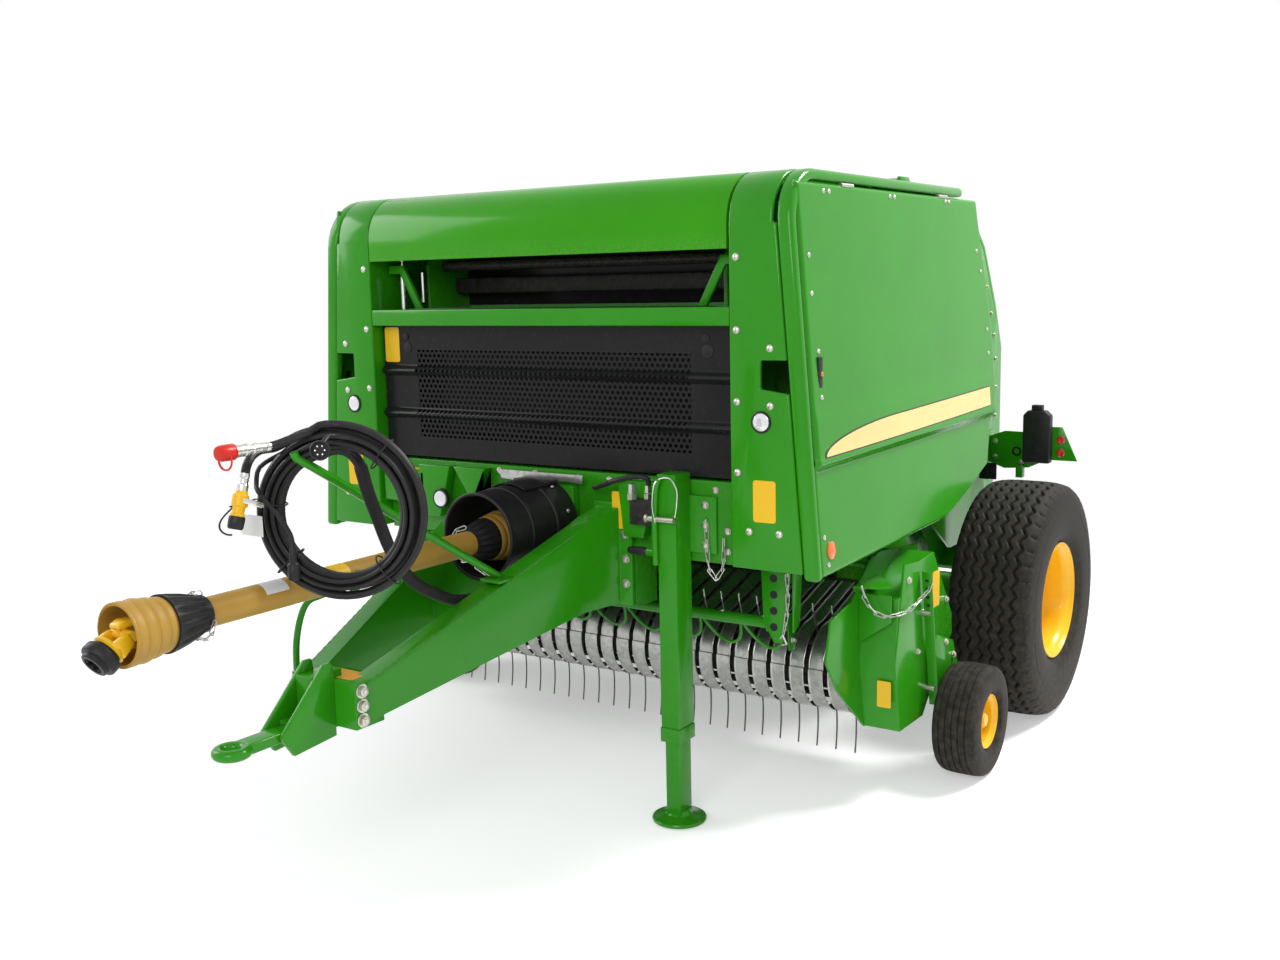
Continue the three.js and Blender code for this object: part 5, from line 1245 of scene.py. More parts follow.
PTO_Z = 0.872
pto_axis = at(0, 0, PTO_Z)


def fluted(profile):
    """A cone round the shaft, its wall folded into flutes where the third number of a ring is 1."""
    flutes, depth, steps = 16, 0.006, 96

    def place_of(column, row):
        along, radius, folded = profile[row]
        turn = 2 * math.pi * (column % steps) / steps
        radius -= depth * folded * (0.5 - 0.5 * math.cos(flutes * turn)) ** 2
        return pto_axis + Vector((radius * math.cos(turn), along, radius * math.sin(turn)))

    piece = closed_up(grid_shell(steps, len(profile) - 1, place_of))
    bpy.ops.object.shade_smooth_by_angle(angle=math.radians(50))
    return piece


guard_tube = turned([(-1.296, 0.030), (-1.296, 0.037), (-1.02, 0.037), (-1.018, 0.0365), (-0.70, 0.0365),
    (-0.698, 0.037), (-0.330, 0.037), (-0.330, 0.030), (-1.296, 0.030)], pto_axis, "Y", 64)
guard_tube = hold(guard_tube, "shaft_guard_tube", "chassis", ochre_plastic)
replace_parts(guard_tube, "pto_guard")


def ribbed_bell(front, back, r_back, r_front):
    """The profile of a soft bell with four ribs, from its neck to its mouth and back inside."""
    outer, inner = [], []
    ribs, count = 4, 40
    for k in range(count + 1):
        t = k / count
        along = back + (front - back) * t
        radius = r_back + (r_front - r_back) * min(1, t * 1.6) ** 0.8
        bulge = 0.0042 * abs(math.sin(math.pi * ribs * t)) ** 0.6
        outer.append((along, radius + bulge - 0.0042))
        inner.append((along, radius - 0.0075))
    outer += [(front, r_front), (front + (0.004 if front < back else -0.004), r_front)]
    return outer + inner[::-1] + [outer[0]]


front_bell = turned(ribbed_bell(-1.512, -1.388, 0.062, 0.076), pto_axis, "Y", 64)
hold(front_bell, "shaft_bell_front", "chassis", ochre_plastic)
rear_bell = turned(ribbed_bell(-0.150, -0.266, 0.064, 0.077), pto_axis, "Y", 64)
hold(rear_bell, "shaft_bell_rear", "chassis", ochre_plastic)
front_cone = fluted([(-1.285, 0.0375, 0), (-1.285, 0.045, 0), (-1.300, 0.0465, 0.2), (-1.312, 0.052, 0.8),
    (-1.345, 0.0615, 1), (-1.376, 0.068, 1), (-1.392, 0.0705, 0.3), (-1.398, 0.0705, 0), (-1.398, 0.060, 0),
    (-1.300, 0.0375, 0), (-1.285, 0.0375, 0)])
hold(front_cone, "shaft_cone_front", "chassis", black_plastic)
rear_cone = fluted([(-0.340, 0.0375, 0), (-0.340, 0.045, 0), (-0.332, 0.0465, 0.2), (-0.322, 0.051, 0.8),
    (-0.299, 0.0580, 1), (-0.276, 0.063, 1), (-0.267, 0.0645, 0.3), (-0.262, 0.0645, 0), (-0.262, 0.056, 0),
    (-0.326, 0.0375, 0), (-0.340, 0.0375, 0)])
hold(rear_cone, "shaft_cone_rear", "chassis", black_plastic)
for name, y0, y1, material in (("shaft_label_yellow", -1.000, -0.840, decal_yellow),
        ("shaft_label_plain", -1.120, -1.050, decal_white)):
    def on_tube(column, row):
        turn = math.radians(22 + 78 * column / 12)
        return pto_axis + Vector((0.0376 * math.cos(turn), y0 + (y1 - y0) * row / 3, 0.0376 * math.sin(turn)))

    label = closed_up(walled(grid_shell(12, 3, on_tube), 0.0006, 1))
    hold(label, name, "chassis", material)


LINK_LENGTH = 0.034
LINK_END_R = 0.0058
LINK_WIRE_R = 0.0017


def chain(name, body, points):
    """Links of bent wire, each turned a quarter from the last, laid along a line."""
    line = smooth_line(points, 0.003)
    half = LINK_LENGTH / 2 - LINK_WIRE_R
    loop = [(half * (1 if abs(t) < 90 else -1) + LINK_END_R * math.cos(math.radians(t)),
        LINK_END_R * math.sin(math.radians(t))) for t in (-90, -45, 0, 45, 90, 91, 135, 180, 225, 269)]
    master = tube([Vector((x, y, 0)) for x, y in loop + loop[:1]], LINK_WIRE_R, 6)
    links, walked, want, quarter = [], 0.0, 0.0, 0
    for a, b in zip(line, line[1:]):
        step = (b - a).length
        while walked + step >= want:
            spot = a + (b - a) * ((want - walked) / max(step, 1e-9))
            ahead = (b - a).normalized()
            side = ahead.cross(Vector((0.31, 0.83, 0.46))).normalized()
            turn = Matrix((ahead, side, ahead.cross(side))).transposed()
            turn = turn @ Matrix.Rotation(math.radians(90 * quarter + 20), 3, "X")
            links.append(copy_of(master, Matrix.Translation(spot) @ turn.to_4x4()))
            want += LINK_LENGTH - 2.6 * LINK_WIRE_R
            quarter = 1 - quarter
        walked += step
    bpy.data.objects.remove(master)
    hold(join(links), name, body, chain_steel)


def around_tube(y, r, start, stop, count, drop):
    """Points round the shaft's guard, sagging in between."""
    out = []
    for k in range(count + 1):
        t = k / count
        turn = math.radians(start + (stop - start) * t)
        out.append(pto_axis + Vector(((r + drop * math.sin(math.pi * t)) * math.cos(turn), y,
            (r + drop * math.sin(math.pi * t)) * math.sin(turn))))
    return out


chain("guard_chain_front", "chassis", around_tube(-1.292, 0.0515, 100, 330, 16, 0.012))
chain("guard_chain_rear", "chassis", [*around_tube(-0.352, 0.0475, 110, 290, 14, 0.006),
    at(0.045, -0.345, 0.800), at(0.090, -0.33, 0.770)])

# yoke, cross and splined collar
yoke_parts = []
for lift in (-1, 1):
    yoke_parts.append(plate([(-1.425, PTO_Z + lift * 0.020), (-1.470, PTO_Z + lift * 0.034),
        (-1.505, PTO_Z + lift * 0.036), (-1.522, PTO_Z + lift * 0.026), (-1.520, PTO_Z + lift * 0.016),
        (-1.480, PTO_Z + lift * 0.018), (-1.425, PTO_Z + lift * 0.006)][::lift], "YZ", -0.017, 0.017, 0.004,
        3))
shaft_end = turned([(-1.440, 0), (-1.440, 0.030), (-1.425, 0.032), (-1.400, 0.026), (-1.400, 0)],
    pto_axis, "Y", 32)
shaft_rod = turned([(-1.430, 0), (-1.430, 0.021), (-0.1505, 0.021), (-0.1505, 0)], pto_axis, "Y", 32)
cross_a = turned([(-0.034, 0), (-0.034, 0.0125), (0.034, 0.0125), (0.034, 0)], pto_axis
    + Vector((0, -1.498, 0)), "Z", 24)
cross_b = turned([(-0.036, 0), (-0.036, 0.0125), (0.036, 0.0125), (0.036, 0)], pto_axis
    + Vector((0, -1.498, 0)), "X", 24)
tilt = Matrix.Translation(at(0, -1.498, PTO_Z)) @ Matrix.Rotation(math.radians(33), 4, "X")
outer_yoke = []
for reach in (-1, 1):
    arm = plate([(-0.004, -0.016), (-0.022, -0.020), (-0.046, -0.024), (-0.050, 0.024), (-0.022, 0.020),
        (-0.004, 0.016)], "YZ", 0.024 if reach > 0 else -0.038, 0.038 if reach > 0 else -0.024, 0.004, 3,
        y_from=0)
    outer_yoke.append(arm)
outer_yoke.append(turned([(-0.040, 0), (-0.040, 0.038), (-0.048, 0.040), (-0.052, 0.034), (-0.052, 0)],
    (0, 0, 0), "Y", 32))
outer = join(outer_yoke)
outer.data.transform(tilt)
yoke = hold(join([*yoke_parts, shaft_end, cross_a, cross_b, outer]), "shaft_yoke", "drive_shaft",
    wheel_yellow)
hold(shaft_rod, "shaft_inner_rod", "drive_shaft", bright_steel)
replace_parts(yoke, "pto_shaft")
collar = turned([(-0.050, 0.0225), (-0.050, 0.034), (-0.056, 0.036), (-0.060, 0.043), (-0.064, 0.0445),
    (-0.080, 0.0445), (-0.084, 0.042), (-0.086, 0.034), (-0.094, 0.033), (-0.096, 0.030), (-0.096, 0.0225),
    (-0.050, 0.0225)], (0, 0, 0), "Y", 40)
teeth = []
for k in range(6):
    tooth = block((-0.005, -0.094, 0.0165), (0.005, -0.050, 0.024), 0.001, 1)
    tooth.data.transform(Matrix.Rotation(math.radians(60 * k), 4, "Y"))
    teeth.append(tooth)
collar = join([collar, *teeth])
collar.data.transform(tilt)
hold(collar, "shaft_splined_collar", "drive_shaft", black_plastic)

# ---------- Input guard ----------
# A big blow-moulded black cup round the gearbox's input shaft, with a rolled lip, moulded ribs and
# an inspection flap on top. It is open to the front for the drive shaft.

CUP_Z = 0.884


def on_flap(column, row):
    """A point on the inspection flap, which lies round the top of the cup."""
    turn = math.radians(62 + 56 * column / 20)
    return at(0.1385 * math.cos(turn), -0.150 + 0.110 * row / 8, CUP_Z + 0.1385 * math.sin(turn))


cup = turned([(0.0215, 0.125), (0.0215, 0.136), (-0.060, 0.1355), (-0.064, 0.1385), (-0.078, 0.1385),
    (-0.082, 0.1345), (-0.180, 0.1330), (-0.184, 0.1355), (-0.194, 0.1355), (-0.198, 0.1325),
    (-0.286, 0.1315), (-0.290, 0.1340), (-0.298, 0.1345), (-0.300, 0.1315), (-0.300, 0.1265),
    (-0.296, 0.1240), (0.0, 0.1255), (0.0215, 0.125)], at(0, 0, CUP_Z), "Y", 72)
flap = grid_shell(20, 8, on_flap)
rounded(closed_up(walled(flap, 0.006, -1)), 0.002)
tab = block(at(-0.070, -0.040, CUP_Z + 0.1255), at(0.070, 0.0215, CUP_Z + 0.138), 0.003)
cup = hold(join([cup, flap, tab]), "input_guard_cup", "chassis", black_plastic)
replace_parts(cup, "input_guard")
fasteners("input_guard_screws", "chassis", [(at(0.139 * math.cos(turn), -0.02, CUP_Z
    + 0.1375 * math.sin(turn)), (math.cos(turn), 0, math.sin(turn)), 0.006)
    for turn in (math.radians(degrees) for degrees in (20, 60, 120, 160, 200, 340))], kind="dome")

# ---------- Shaft rest and hose holder ----------
# Bent green rods: one cradles the drive shaft when it is unhitched, the other hooks over the hoses.

rest_line = [at(-0.1273, -0.905, 0.540), at(-0.1273, -0.900, 0.690), at(-0.1213, -0.868, 0.785),
    at(-0.084, -0.842, 0.812)]
for k in range(13):
    turn = math.radians(235 + 115 * k / 12)
    rest_line.append(at(0.0493 * math.cos(turn), -0.832, PTO_Z + 0.0493 * math.sin(turn)))
rest_line.append(at(0.0523, -0.832, 0.892))
rest = hold(tube(smooth_line(rest_line, 0.012), 0.009, 16), "shaft_rest_rod", "chassis", body_green)
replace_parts(rest, "shaft_rest")
holder_line = [at(0.175, -0.415, 0.808), at(0.1375, -0.7295, 1.010), at(0.108, -0.980, 1.172),
    at(0.100, -1.044, 1.212), at(0.097, -1.058, 1.222), at(0.096, -1.064, 1.236)]
holder_rod = tube(smooth_line(holder_line, 0.012), 0.011, 16)
foot_plate = block(at(0.140, -0.455, 0.795), at(0.212, -0.375, 0.805), 0.002)
holder_rod = hold(join([holder_rod, foot_plate]), "hose_holder_rod", "chassis", body_green)
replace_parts(holder_rod, "hose_holder")

# ---------- Main wheels ----------
# Wide flotation tyres with six zigzag grooves, nicked shoulders and a moulded sidewall, on yellow
# dished steel rims whose welded disc is bolted to the hub.

TREAD_STEPS = 384
TREAD_ROWS = 132
ZIGZAGS = 48


def tyre(name, node, body, centre, radius, width, rim_radius, bead_x, grooves, zigzag, lips):
    """A tyre as one closed shell of revolution, its tread cut by grooves that may zigzag."""
    sign = 1 if centre.x > 0 else -1
    tread_half = width * 0.436
    side_profile = [(0.455, 0.945), (0.480, 0.895), (0.495, 0.83), (0.500, 0.74), (0.494, 0.66),
        (0.474, 0.585), (bead_x / width * 1.05, 0.540), (bead_x / width, 0.515)]
    crown = 0.036 * radius
    rows = [(-a * width, "wall", r) for a, r in reversed(side_profile)]
    rows += [(-tread_half + 2 * tread_half * k / TREAD_ROWS, "tread", 0) for k in range(TREAD_ROWS + 1)]
    rows += [(a * width, "wall", r) for a, r in side_profile]
    rows += [(bead_x * 0.96, "bead", 0), (-bead_x * 0.96, "bead", 0), rows[0]]
    pitch = 2 * tread_half / (grooves + 1)

    def place_of(column, row):
        along, kind, r = rows[row]
        turn = 2 * math.pi * (column % TREAD_STEPS) / TREAD_STEPS
        if kind == "tread":
            level = radius - crown * (along / tread_half) ** 4 * 0.9
            depth = 0.0
            for g in range(grooves):
                middle = -tread_half + pitch * (g + 1)
                sway = zigzag * (2 / math.pi) * math.asin(math.sin(turn * ZIGZAGS))
                gap = abs(along - middle - sway)
                depth = max(depth, min(1.0, max(0.0, 1.6 - gap / (width * 0.0125))))
            edge = abs(along) / tread_half
            nick = 0.0
            if zigzag and edge > 0.86:
                nick = max(0.0, math.sin(turn * ZIGZAGS)) ** 6 * min(1, (edge - 0.86) / 0.08)
            level -= depth * 0.026 * radius + nick * 0.016 * radius
            if edge > 0.93:
                level -= 0.012 * radius * ((edge - 0.93) / 0.07) ** 2
        elif kind == "bead":
            level = rim_radius - 0.003
        else:
            level = rim_radius + (radius - rim_radius) * (r - 0.515) / (0.985 - 0.515) * 0.985
            if zigzag and r > 0.90:
                level -= max(0.0, math.sin(turn * ZIGZAGS)) ** 6 * 0.006 * radius
        return centre + Vector((sign * along, level * math.cos(turn), level * math.sin(turn)))

    piece = closed_up(grid_shell(TREAD_STEPS, len(rows) - 1, place_of))
    bpy.ops.object.shade_smooth_by_angle(angle=math.radians(55))
    hold(piece, name, body, tyre_rubber)
    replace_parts(piece, node)
    # raised lines moulded in the sidewall
    for k, level in enumerate(lips):
        spot = next(a * width for a, r in side_profile if r <= level)
        rise = rim_radius + (radius - rim_radius) * (level - 0.515) / 0.47 * 0.985
        line = [centre + Vector((sign * (spot - 0.0024), rise * math.cos(t), rise * math.sin(t)))
            for t in [2 * math.pi * j / 96 for j in range(97)]]
        hold(tube(line, 0.0022, 6), "%s_sidewall_line_%d" % (name, k + 1), body, tyre_rubber)


def rim(name, node, body, centre, sign, profile, bolts):
    """A turned steel rim with its bolted disc and hub cap."""
    centre = Vector(centre)
    shell = turned([(sign * a, r) for a, r in profile], centre, "X", 72)
    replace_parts(hold(shell, name, body, wheel_yellow), node)
    ring_r, count, size, plane_x = bolts
    places = []
    for k in range(count):
        turn = 2 * math.pi * (k + 0.5) / count
        places.append((centre + Vector((sign * plane_x, ring_r * math.cos(turn), ring_r * math.sin(turn))),
            (sign, 0, 0), size))
    fasteners(name + "_nuts", body, places, wheel_yellow)


for side, sign in sides:
    hub = at(sign * 1.060, 1.554, 0.434)
    tyre("main_tyre_tread_" + side, "main_tyre_" + side, "main_wheel_" + side, hub, 0.434, 0.304, 0.206,
        0.120, 6, 0.0090, (0.80, 0.60))
    rim("main_rim_steel_" + side, "main_rim_" + side, "main_wheel_" + side, hub, sign,
        [(0.040, 0), (0.040, 0.050), (0.034, 0.058), (0.020, 0.062), (0.000, 0.064), (-0.006, 0.072),
        (-0.008, 0.120), (-0.014, 0.138), (-0.022, 0.160), (-0.018, 0.176), (-0.004, 0.1835),
        (0.090, 0.1845), (0.106, 0.190), (0.116, 0.199), (0.122, 0.2055), (0.129, 0.2075), (0.132, 0.210),
        (0.1315, 0.213), (0.127, 0.2145), (0.123, 0.213), (0.120, 0.208), (0.116, 0.200), (0.104, 0.196),
        (0.040, 0.1925), (-0.110, 0.1925), (-0.121, 0.203), (-0.123, 0.211), (-0.132, 0.213),
        (-0.132, 0.204), (-0.115, 0.187), (-0.022, 0.186), (-0.032, 0.176), (-0.034, 0.150),
        (-0.024, 0.120), (-0.016, 0.084), (-0.016, 0.064), (-0.060, 0.062), (-0.060, 0)],
        (0.102, 6, 0.011, -0.0075))

# ---------- Gauge wheels ----------
# Small ribbed wheels that carry the pickup, each on a green arm from the end guard.

for side, sign in sides:
    hub = at(sign * 1.124, 0.828, 0.183)
    tyre("gauge_tyre_tread_" + side, "gauge_tyre_" + side, "gauge_wheel_" + side, hub, 0.183, 0.148, 0.085,
        0.0505, 5, 0.0, (0.80, 0.62))
    rim("gauge_rim_steel_" + side, "gauge_rim_" + side, "gauge_wheel_" + side, hub, sign,
        [(0.052, 0), (0.052, 0.018), (0.046, 0.024), (0.018, 0.026), (0.013, 0.034), (0.010, 0.052),
        (0.012, 0.066), (0.022, 0.0735), (0.044, 0.0745), (0.050, 0.080), (0.054, 0.0850), (0.060, 0.0865),
        (0.061, 0.0885), (0.058, 0.0905), (0.054, 0.0895), (0.050, 0.083), (0.040, 0.078), (-0.040, 0.078),
        (-0.054, 0.084), (-0.056, 0.0905), (-0.061, 0.090), (-0.061, 0.084), (-0.048, 0.0745),
        (0.006, 0.0735), (0.000, 0.066), (0.000, 0.050), (0.004, 0.026), (-0.040, 0.024), (-0.040, 0)],
        (0.048, 5, 0.0062, 0.010))

# ---------- Axles and loose parts by the wheels ----------
# Plate axle carriers bolted to the chamber, with the return spring of the tailgate's lock.

for side, sign in sides:
    softened("axle_welded_" + side, "axle_" + side, "chassis", frame_green, 0.004)
    coils = [at(sign * (0.680 + 0.011 * math.cos(math.radians(36 * k))), 1.86
        + 0.011 * math.sin(math.radians(36 * k)), 0.86 - 0.0011 * k) for k in range(91)]
    spring = tube([coils[0] + Vector((0, 0, 0.03)), *coils, coils[-1] - Vector((0, 0, 0.03))], 0.0024, 8)
    hold(spring, "lock_spring_" + side, "chassis", spring_steel)

# ---------- Pickup ----------
# Galvanised bands hoop the tine reel. Each is one strip with a rolled hem on both edges and a lap
# under its upper third. Spring tines on three bars reach out through the gaps between them.

REEL_Y = 0.585
REEL_Z = 0.371
BAND_R = 0.144
TINE_PITCH = 0.068
BAND_COUNT = 27
PICKUP_HALF = 0.8847
LAP_DEGREES = 172

band_path = [(0.835, 0.593, 0)]
band_path += [(0.835 + (0.585 - 0.835) * t, 0.593 + (REEL_Z + BAND_R - 0.593) * t, 0)
    for t in (0.3, 0.6, 0.9)]
band_path += [(REEL_Y + BAND_R * math.cos(math.radians(a)), REEL_Z + BAND_R * math.sin(math.radians(a)),
    0.0035 if LAP_DEGREES - 6 < a < LAP_DEGREES else 0.0) for a in sorted([90 + 6 * k for k in range(31)]
    + [LAP_DEGREES - 0.8, LAP_DEGREES + 0.2])]
band_path += [(REEL_Y + 0.020, REEL_Z - BAND_R, 0), (REEL_Y + 0.040, REEL_Z - BAND_R, 0)]
hem_across = (-0.025, -0.0245, -0.0232, -0.0215, -0.0200, -0.010, 0.0,
    0.010, 0.0200, 0.0215, 0.0232, 0.0245, 0.025)
hem_rise = (-0.0022, -0.0006, 0.0, -0.0006, -0.0024, -0.0018, -0.0016, -0.0018, -0.0024, -0.0006, 0.0,
    -0.0006, -0.0022)


def on_band(column, row):
    y, z, sunk = band_path[row]
    y0, z0 = band_path[max(row - 1, 0)][:2]
    y1, z1 = band_path[min(row + 1, len(band_path) - 1)][:2]
    out = Vector((0, z0 - z1, y1 - y0)).normalized() * -1
    return at(hem_across[column], y, z) + out * (hem_rise[column] - sunk)


band = grid_shell(len(hem_across) - 1, len(band_path) - 1, on_band)
closed_up(walled(band, 0.0022))
bands = []
for k in range(BAND_COUNT):
    middle = (k - (BAND_COUNT - 1) / 2) * TINE_PITCH
    copy = copy_of(band, Matrix.Translation((middle, 0, 0)))
    for vertex in copy.data.vertices:
        vertex.co.x = max(-PICKUP_HALF + 0.0002, min(PICKUP_HALF - 0.0002, vertex.co.x))
    bands.append(copy)
bpy.data.objects.remove(band)
stripper = join(bands)
bpy.ops.object.shade_smooth_by_angle(angle=math.radians(42))
stripper = hold(stripper, "stripper_bands_galvanised", "pickup", galvanised)
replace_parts(stripper, "stripper_bands")
# A bar along the pickup's rear, and a black sheet hanging behind the bands: the sheet is painted shade,
# closing the gaps where light would show through.
rear_bar_and_shade_sheet = join([block(at(-PICKUP_HALF, 0.831, 0.561), at(PICKUP_HALF, 0.881, 0.592), 0.003),
    plate([(0.868, 0.565), (0.872, 0.565), (0.874, 0.300), (0.840, 0.225), (0.836, 0.226), (0.869, 0.302)],
    "YZ", -PICKUP_HALF, PICKUP_HALF, 0.001)])
hold(rear_bar_and_shade_sheet, "pickup_rear_bar_and_shade_sheet", "pickup", black_steel)

tine_rows = ((240, (0.523, 0.109)), (120, (0.493, 0.597)), (0, (0.781, 0.251)))
reel_parts = [turned([(-0.862, 0), (-0.862, 0.030), (-0.850, 0.030), (-0.850, 0.078), (0.850, 0.078),
    (0.850, 0.030), (0.862, 0.030), (0.862, 0)], at(0, REEL_Y, REEL_Z), "X", 24)]
for x in (-PICKUP_HALF + 0.022, PICKUP_HALF - 0.027):
    reel_parts.append(turned([(0, 0), (0, 0.112), (0.005, 0.112), (0.005, 0)],
        at(x, REEL_Y, REEL_Z), "X", 40))
tine_sets, tip_sets = [], []
for angle, (tip_y, tip_z) in tine_rows:
    bar_y = REEL_Y + 0.096 * math.cos(math.radians(angle))
    bar_z = REEL_Z + 0.096 * math.sin(math.radians(angle))
    reel_parts.append(turned([(-0.857, 0), (-0.857, 0.012), (0.857, 0.012), (0.857, 0)],
        at(0, bar_y, bar_z), "X", 20))
    aim = Vector((0, tip_y - bar_y, tip_z - bar_z))
    start = math.atan2(aim.z, aim.y) - math.pi / 2
    wind = [at(-0.0066 + 0.0066 * k / 20, bar_y + 0.0155 * math.cos(start - math.radians(36) * (20 - k)),
        bar_z + 0.0155 * math.sin(start - math.radians(36) * (20 - k))) for k in range(21)]
    foot = wind[-1]
    tip = at(0, tip_y, tip_z)
    bow = Vector((0, -aim.z, aim.y)).normalized() * 0.010
    reach = [foot + (tip - foot) * t + bow * math.sin(math.pi * t) for t in (0.15, 0.4, 0.65, 0.85, 1.0)]
    tine = tube(smooth_line([*wind, *reach], 0.008), 0.0028, 7)
    worn_tip = tube([foot + (tip - foot) * t + bow * math.sin(math.pi * t)
        for t in (0.80, 0.87, 0.94, 0.998)], 0.0031, 8)
    for master, made in ((tine, tine_sets), (worn_tip, tip_sets))[:2 if angle == 120 else 1]:
        for k in range(BAND_COUNT - 1):
            middle = (k - (BAND_COUNT - 2) / 2) * TINE_PITCH
            made.append(copy_of(master, Matrix.Translation((middle, 0, 0))))
    bpy.data.objects.remove(tine)
    bpy.data.objects.remove(worn_tip)
reel_core = hold(join(reel_parts), "reel_bars", "reel", black_steel)
hold(join(tine_sets), "reel_tines", "reel", spring_steel)
hold(join(tip_sets), "reel_tine_tips", "reel", bright_steel)
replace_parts(reel_core, "pickup_reel")
softened("feeder_rotor_stars", "feeder_rotor", "feeder", black_steel, 0.003)

# ---------- Windguard ----------
# A green round tube across the pickup that floats on two arms. Bent rods hang from it in loops and
# press the crop down; zinc bolts hold them from above.

WINDGUARD_Y = 0.330
WINDGUARD_Z = 0.560
guard_bar = [turned([(-0.717, 0), (-0.717, 0.0175), (-0.7155, 0.019), (0.7155, 0.019), (0.717, 0.0175),
    (0.717, 0)], at(0, WINDGUARD_Y, WINDGUARD_Z), "X", 32)]
for side, sign in sides:
    guard_bar.append(plate([(WINDGUARD_Y + y, WINDGUARD_Z + z) for y, z in ((-0.016, -0.026),
        (0.022, -0.022), (0.080, 0.070), (0.252, 0.148), (0.248, 0.180), (0.216, 0.180), (0.020, 0.090),
        (-0.020, 0.010))], "YZ", sign * 0.650 if sign < 0 else 0.640, -0.640 if sign < 0 else 0.650, 0.003))
    guard_bar.append(turned([(0, 0), (0, 0.009), (0.2404, 0.009), (0.2404, 0)],
        at(0.644 if sign > 0 else -0.8844, 0.566, 0.722), "X", 16))
    end_plate = plate(((0.305, 0.600), (0.350, 0.600), (0.372, 0.500), (0.352, 0.478), (0.318, 0.482)),
        "YZ", sign * 0.7195 - 0.0025, sign * 0.7195 + 0.0025, 0.001)
    guard_bar.append(end_plate)
    fasteners("windguard_end_bolt_" + side, "windguard", [(at(sign * 0.722, 0.340, 0.515), (sign, 0, 0),
        0.011)])
loop_pitch = 0.150
for k in range(9):
    left = -0.65 + loop_pitch * k
    points = [at(left, 0.332, 0.546), at(left + 0.008, 0.345, 0.524), at(left + 0.030, 0.366, 0.488),
        at(left + 0.060, 0.378, 0.466), at(left + 0.085, 0.380, 0.464), at(left + 0.112, 0.374, 0.480),
        at(left + 0.130, 0.352, 0.515), at(left + 0.138, 0.334, 0.546)]
    guard_bar.append(tube(smooth_line(points, 0.010), 0.0055, 10))
windguard = hold(join(guard_bar), "windguard_tube", "windguard", body_green)
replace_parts(windguard, "windguard")
fasteners("windguard_bolts", "windguard", [(at(-0.575 + loop_pitch * k, WINDGUARD_Y, WINDGUARD_Z + 0.0185),
    (0, 0, 1), 0.0075) for k in range(9)], kind="dome")

# slotted hanger that carries the pickup's lift link, under the front corner of the body
for side, sign in sides:
    hanger = plate([(sign * 0.800, 0.815), (sign * 0.690, 0.815), (sign * 0.700, 0.600),
        (sign * 0.735, 0.540), (sign * 0.760, 0.545), (sign * 0.770, 0.600)][::-sign], "XZ", 0.190, 0.196,
        0.001)
    strips = [hanger, plate([(0.190, 0.815), (0.250, 0.815), (0.230, 0.600), (0.190, 0.580)], "YZ",
        sign * 0.800 - 0.003, sign * 0.800 + 0.003, 0.001)]
    hold(join(strips), "pickup_hanger_" + side, "chassis", body_green)
    holes = [turned([(0, 0), (0, 0.0125), (-0.0012, 0.0125), (-0.0012, 0)], at(sign * 0.735, 0.190, z), "Y",
        24) for z in (0.740, 0.690, 0.640, 0.590)]
    hold(join(holes), "pickup_hanger_holes_" + side, "chassis", black_satin)
    chain("pickup_hanger_chain_" + side, "chassis", [at(sign * 0.782, 0.186, 0.770),
        at(sign * 0.784, 0.184, 0.66), at(sign * 0.772, 0.182, 0.575)])
    pin = tube([at(sign * 0.760, 0.184, 0.560), at(sign * 0.775, 0.170, 0.575),
        at(sign * 0.785, 0.176, 0.548), at(sign * 0.766, 0.186, 0.540)], 0.0028, 8)
    hold(pin, "pickup_hanger_clip_" + side, "chassis", bright_steel)
chain("jack_pin_chain", "chassis", [at(0.594, 0.036, 0.915), at(0.605, 0.030, 0.800),
    at(0.630, 0.030, 0.765), at(0.650, 0.036, 0.800), at(0.652, 0.040, 0.880)])

# ---------- Pickup end guards and gauge wheel arms ----------
# Folded sheet guards close the pickup's ends. A triangular bracket braces each deflector, a punched
# strip sets the height of the gauge wheel's arm, and a chain holds its pin.

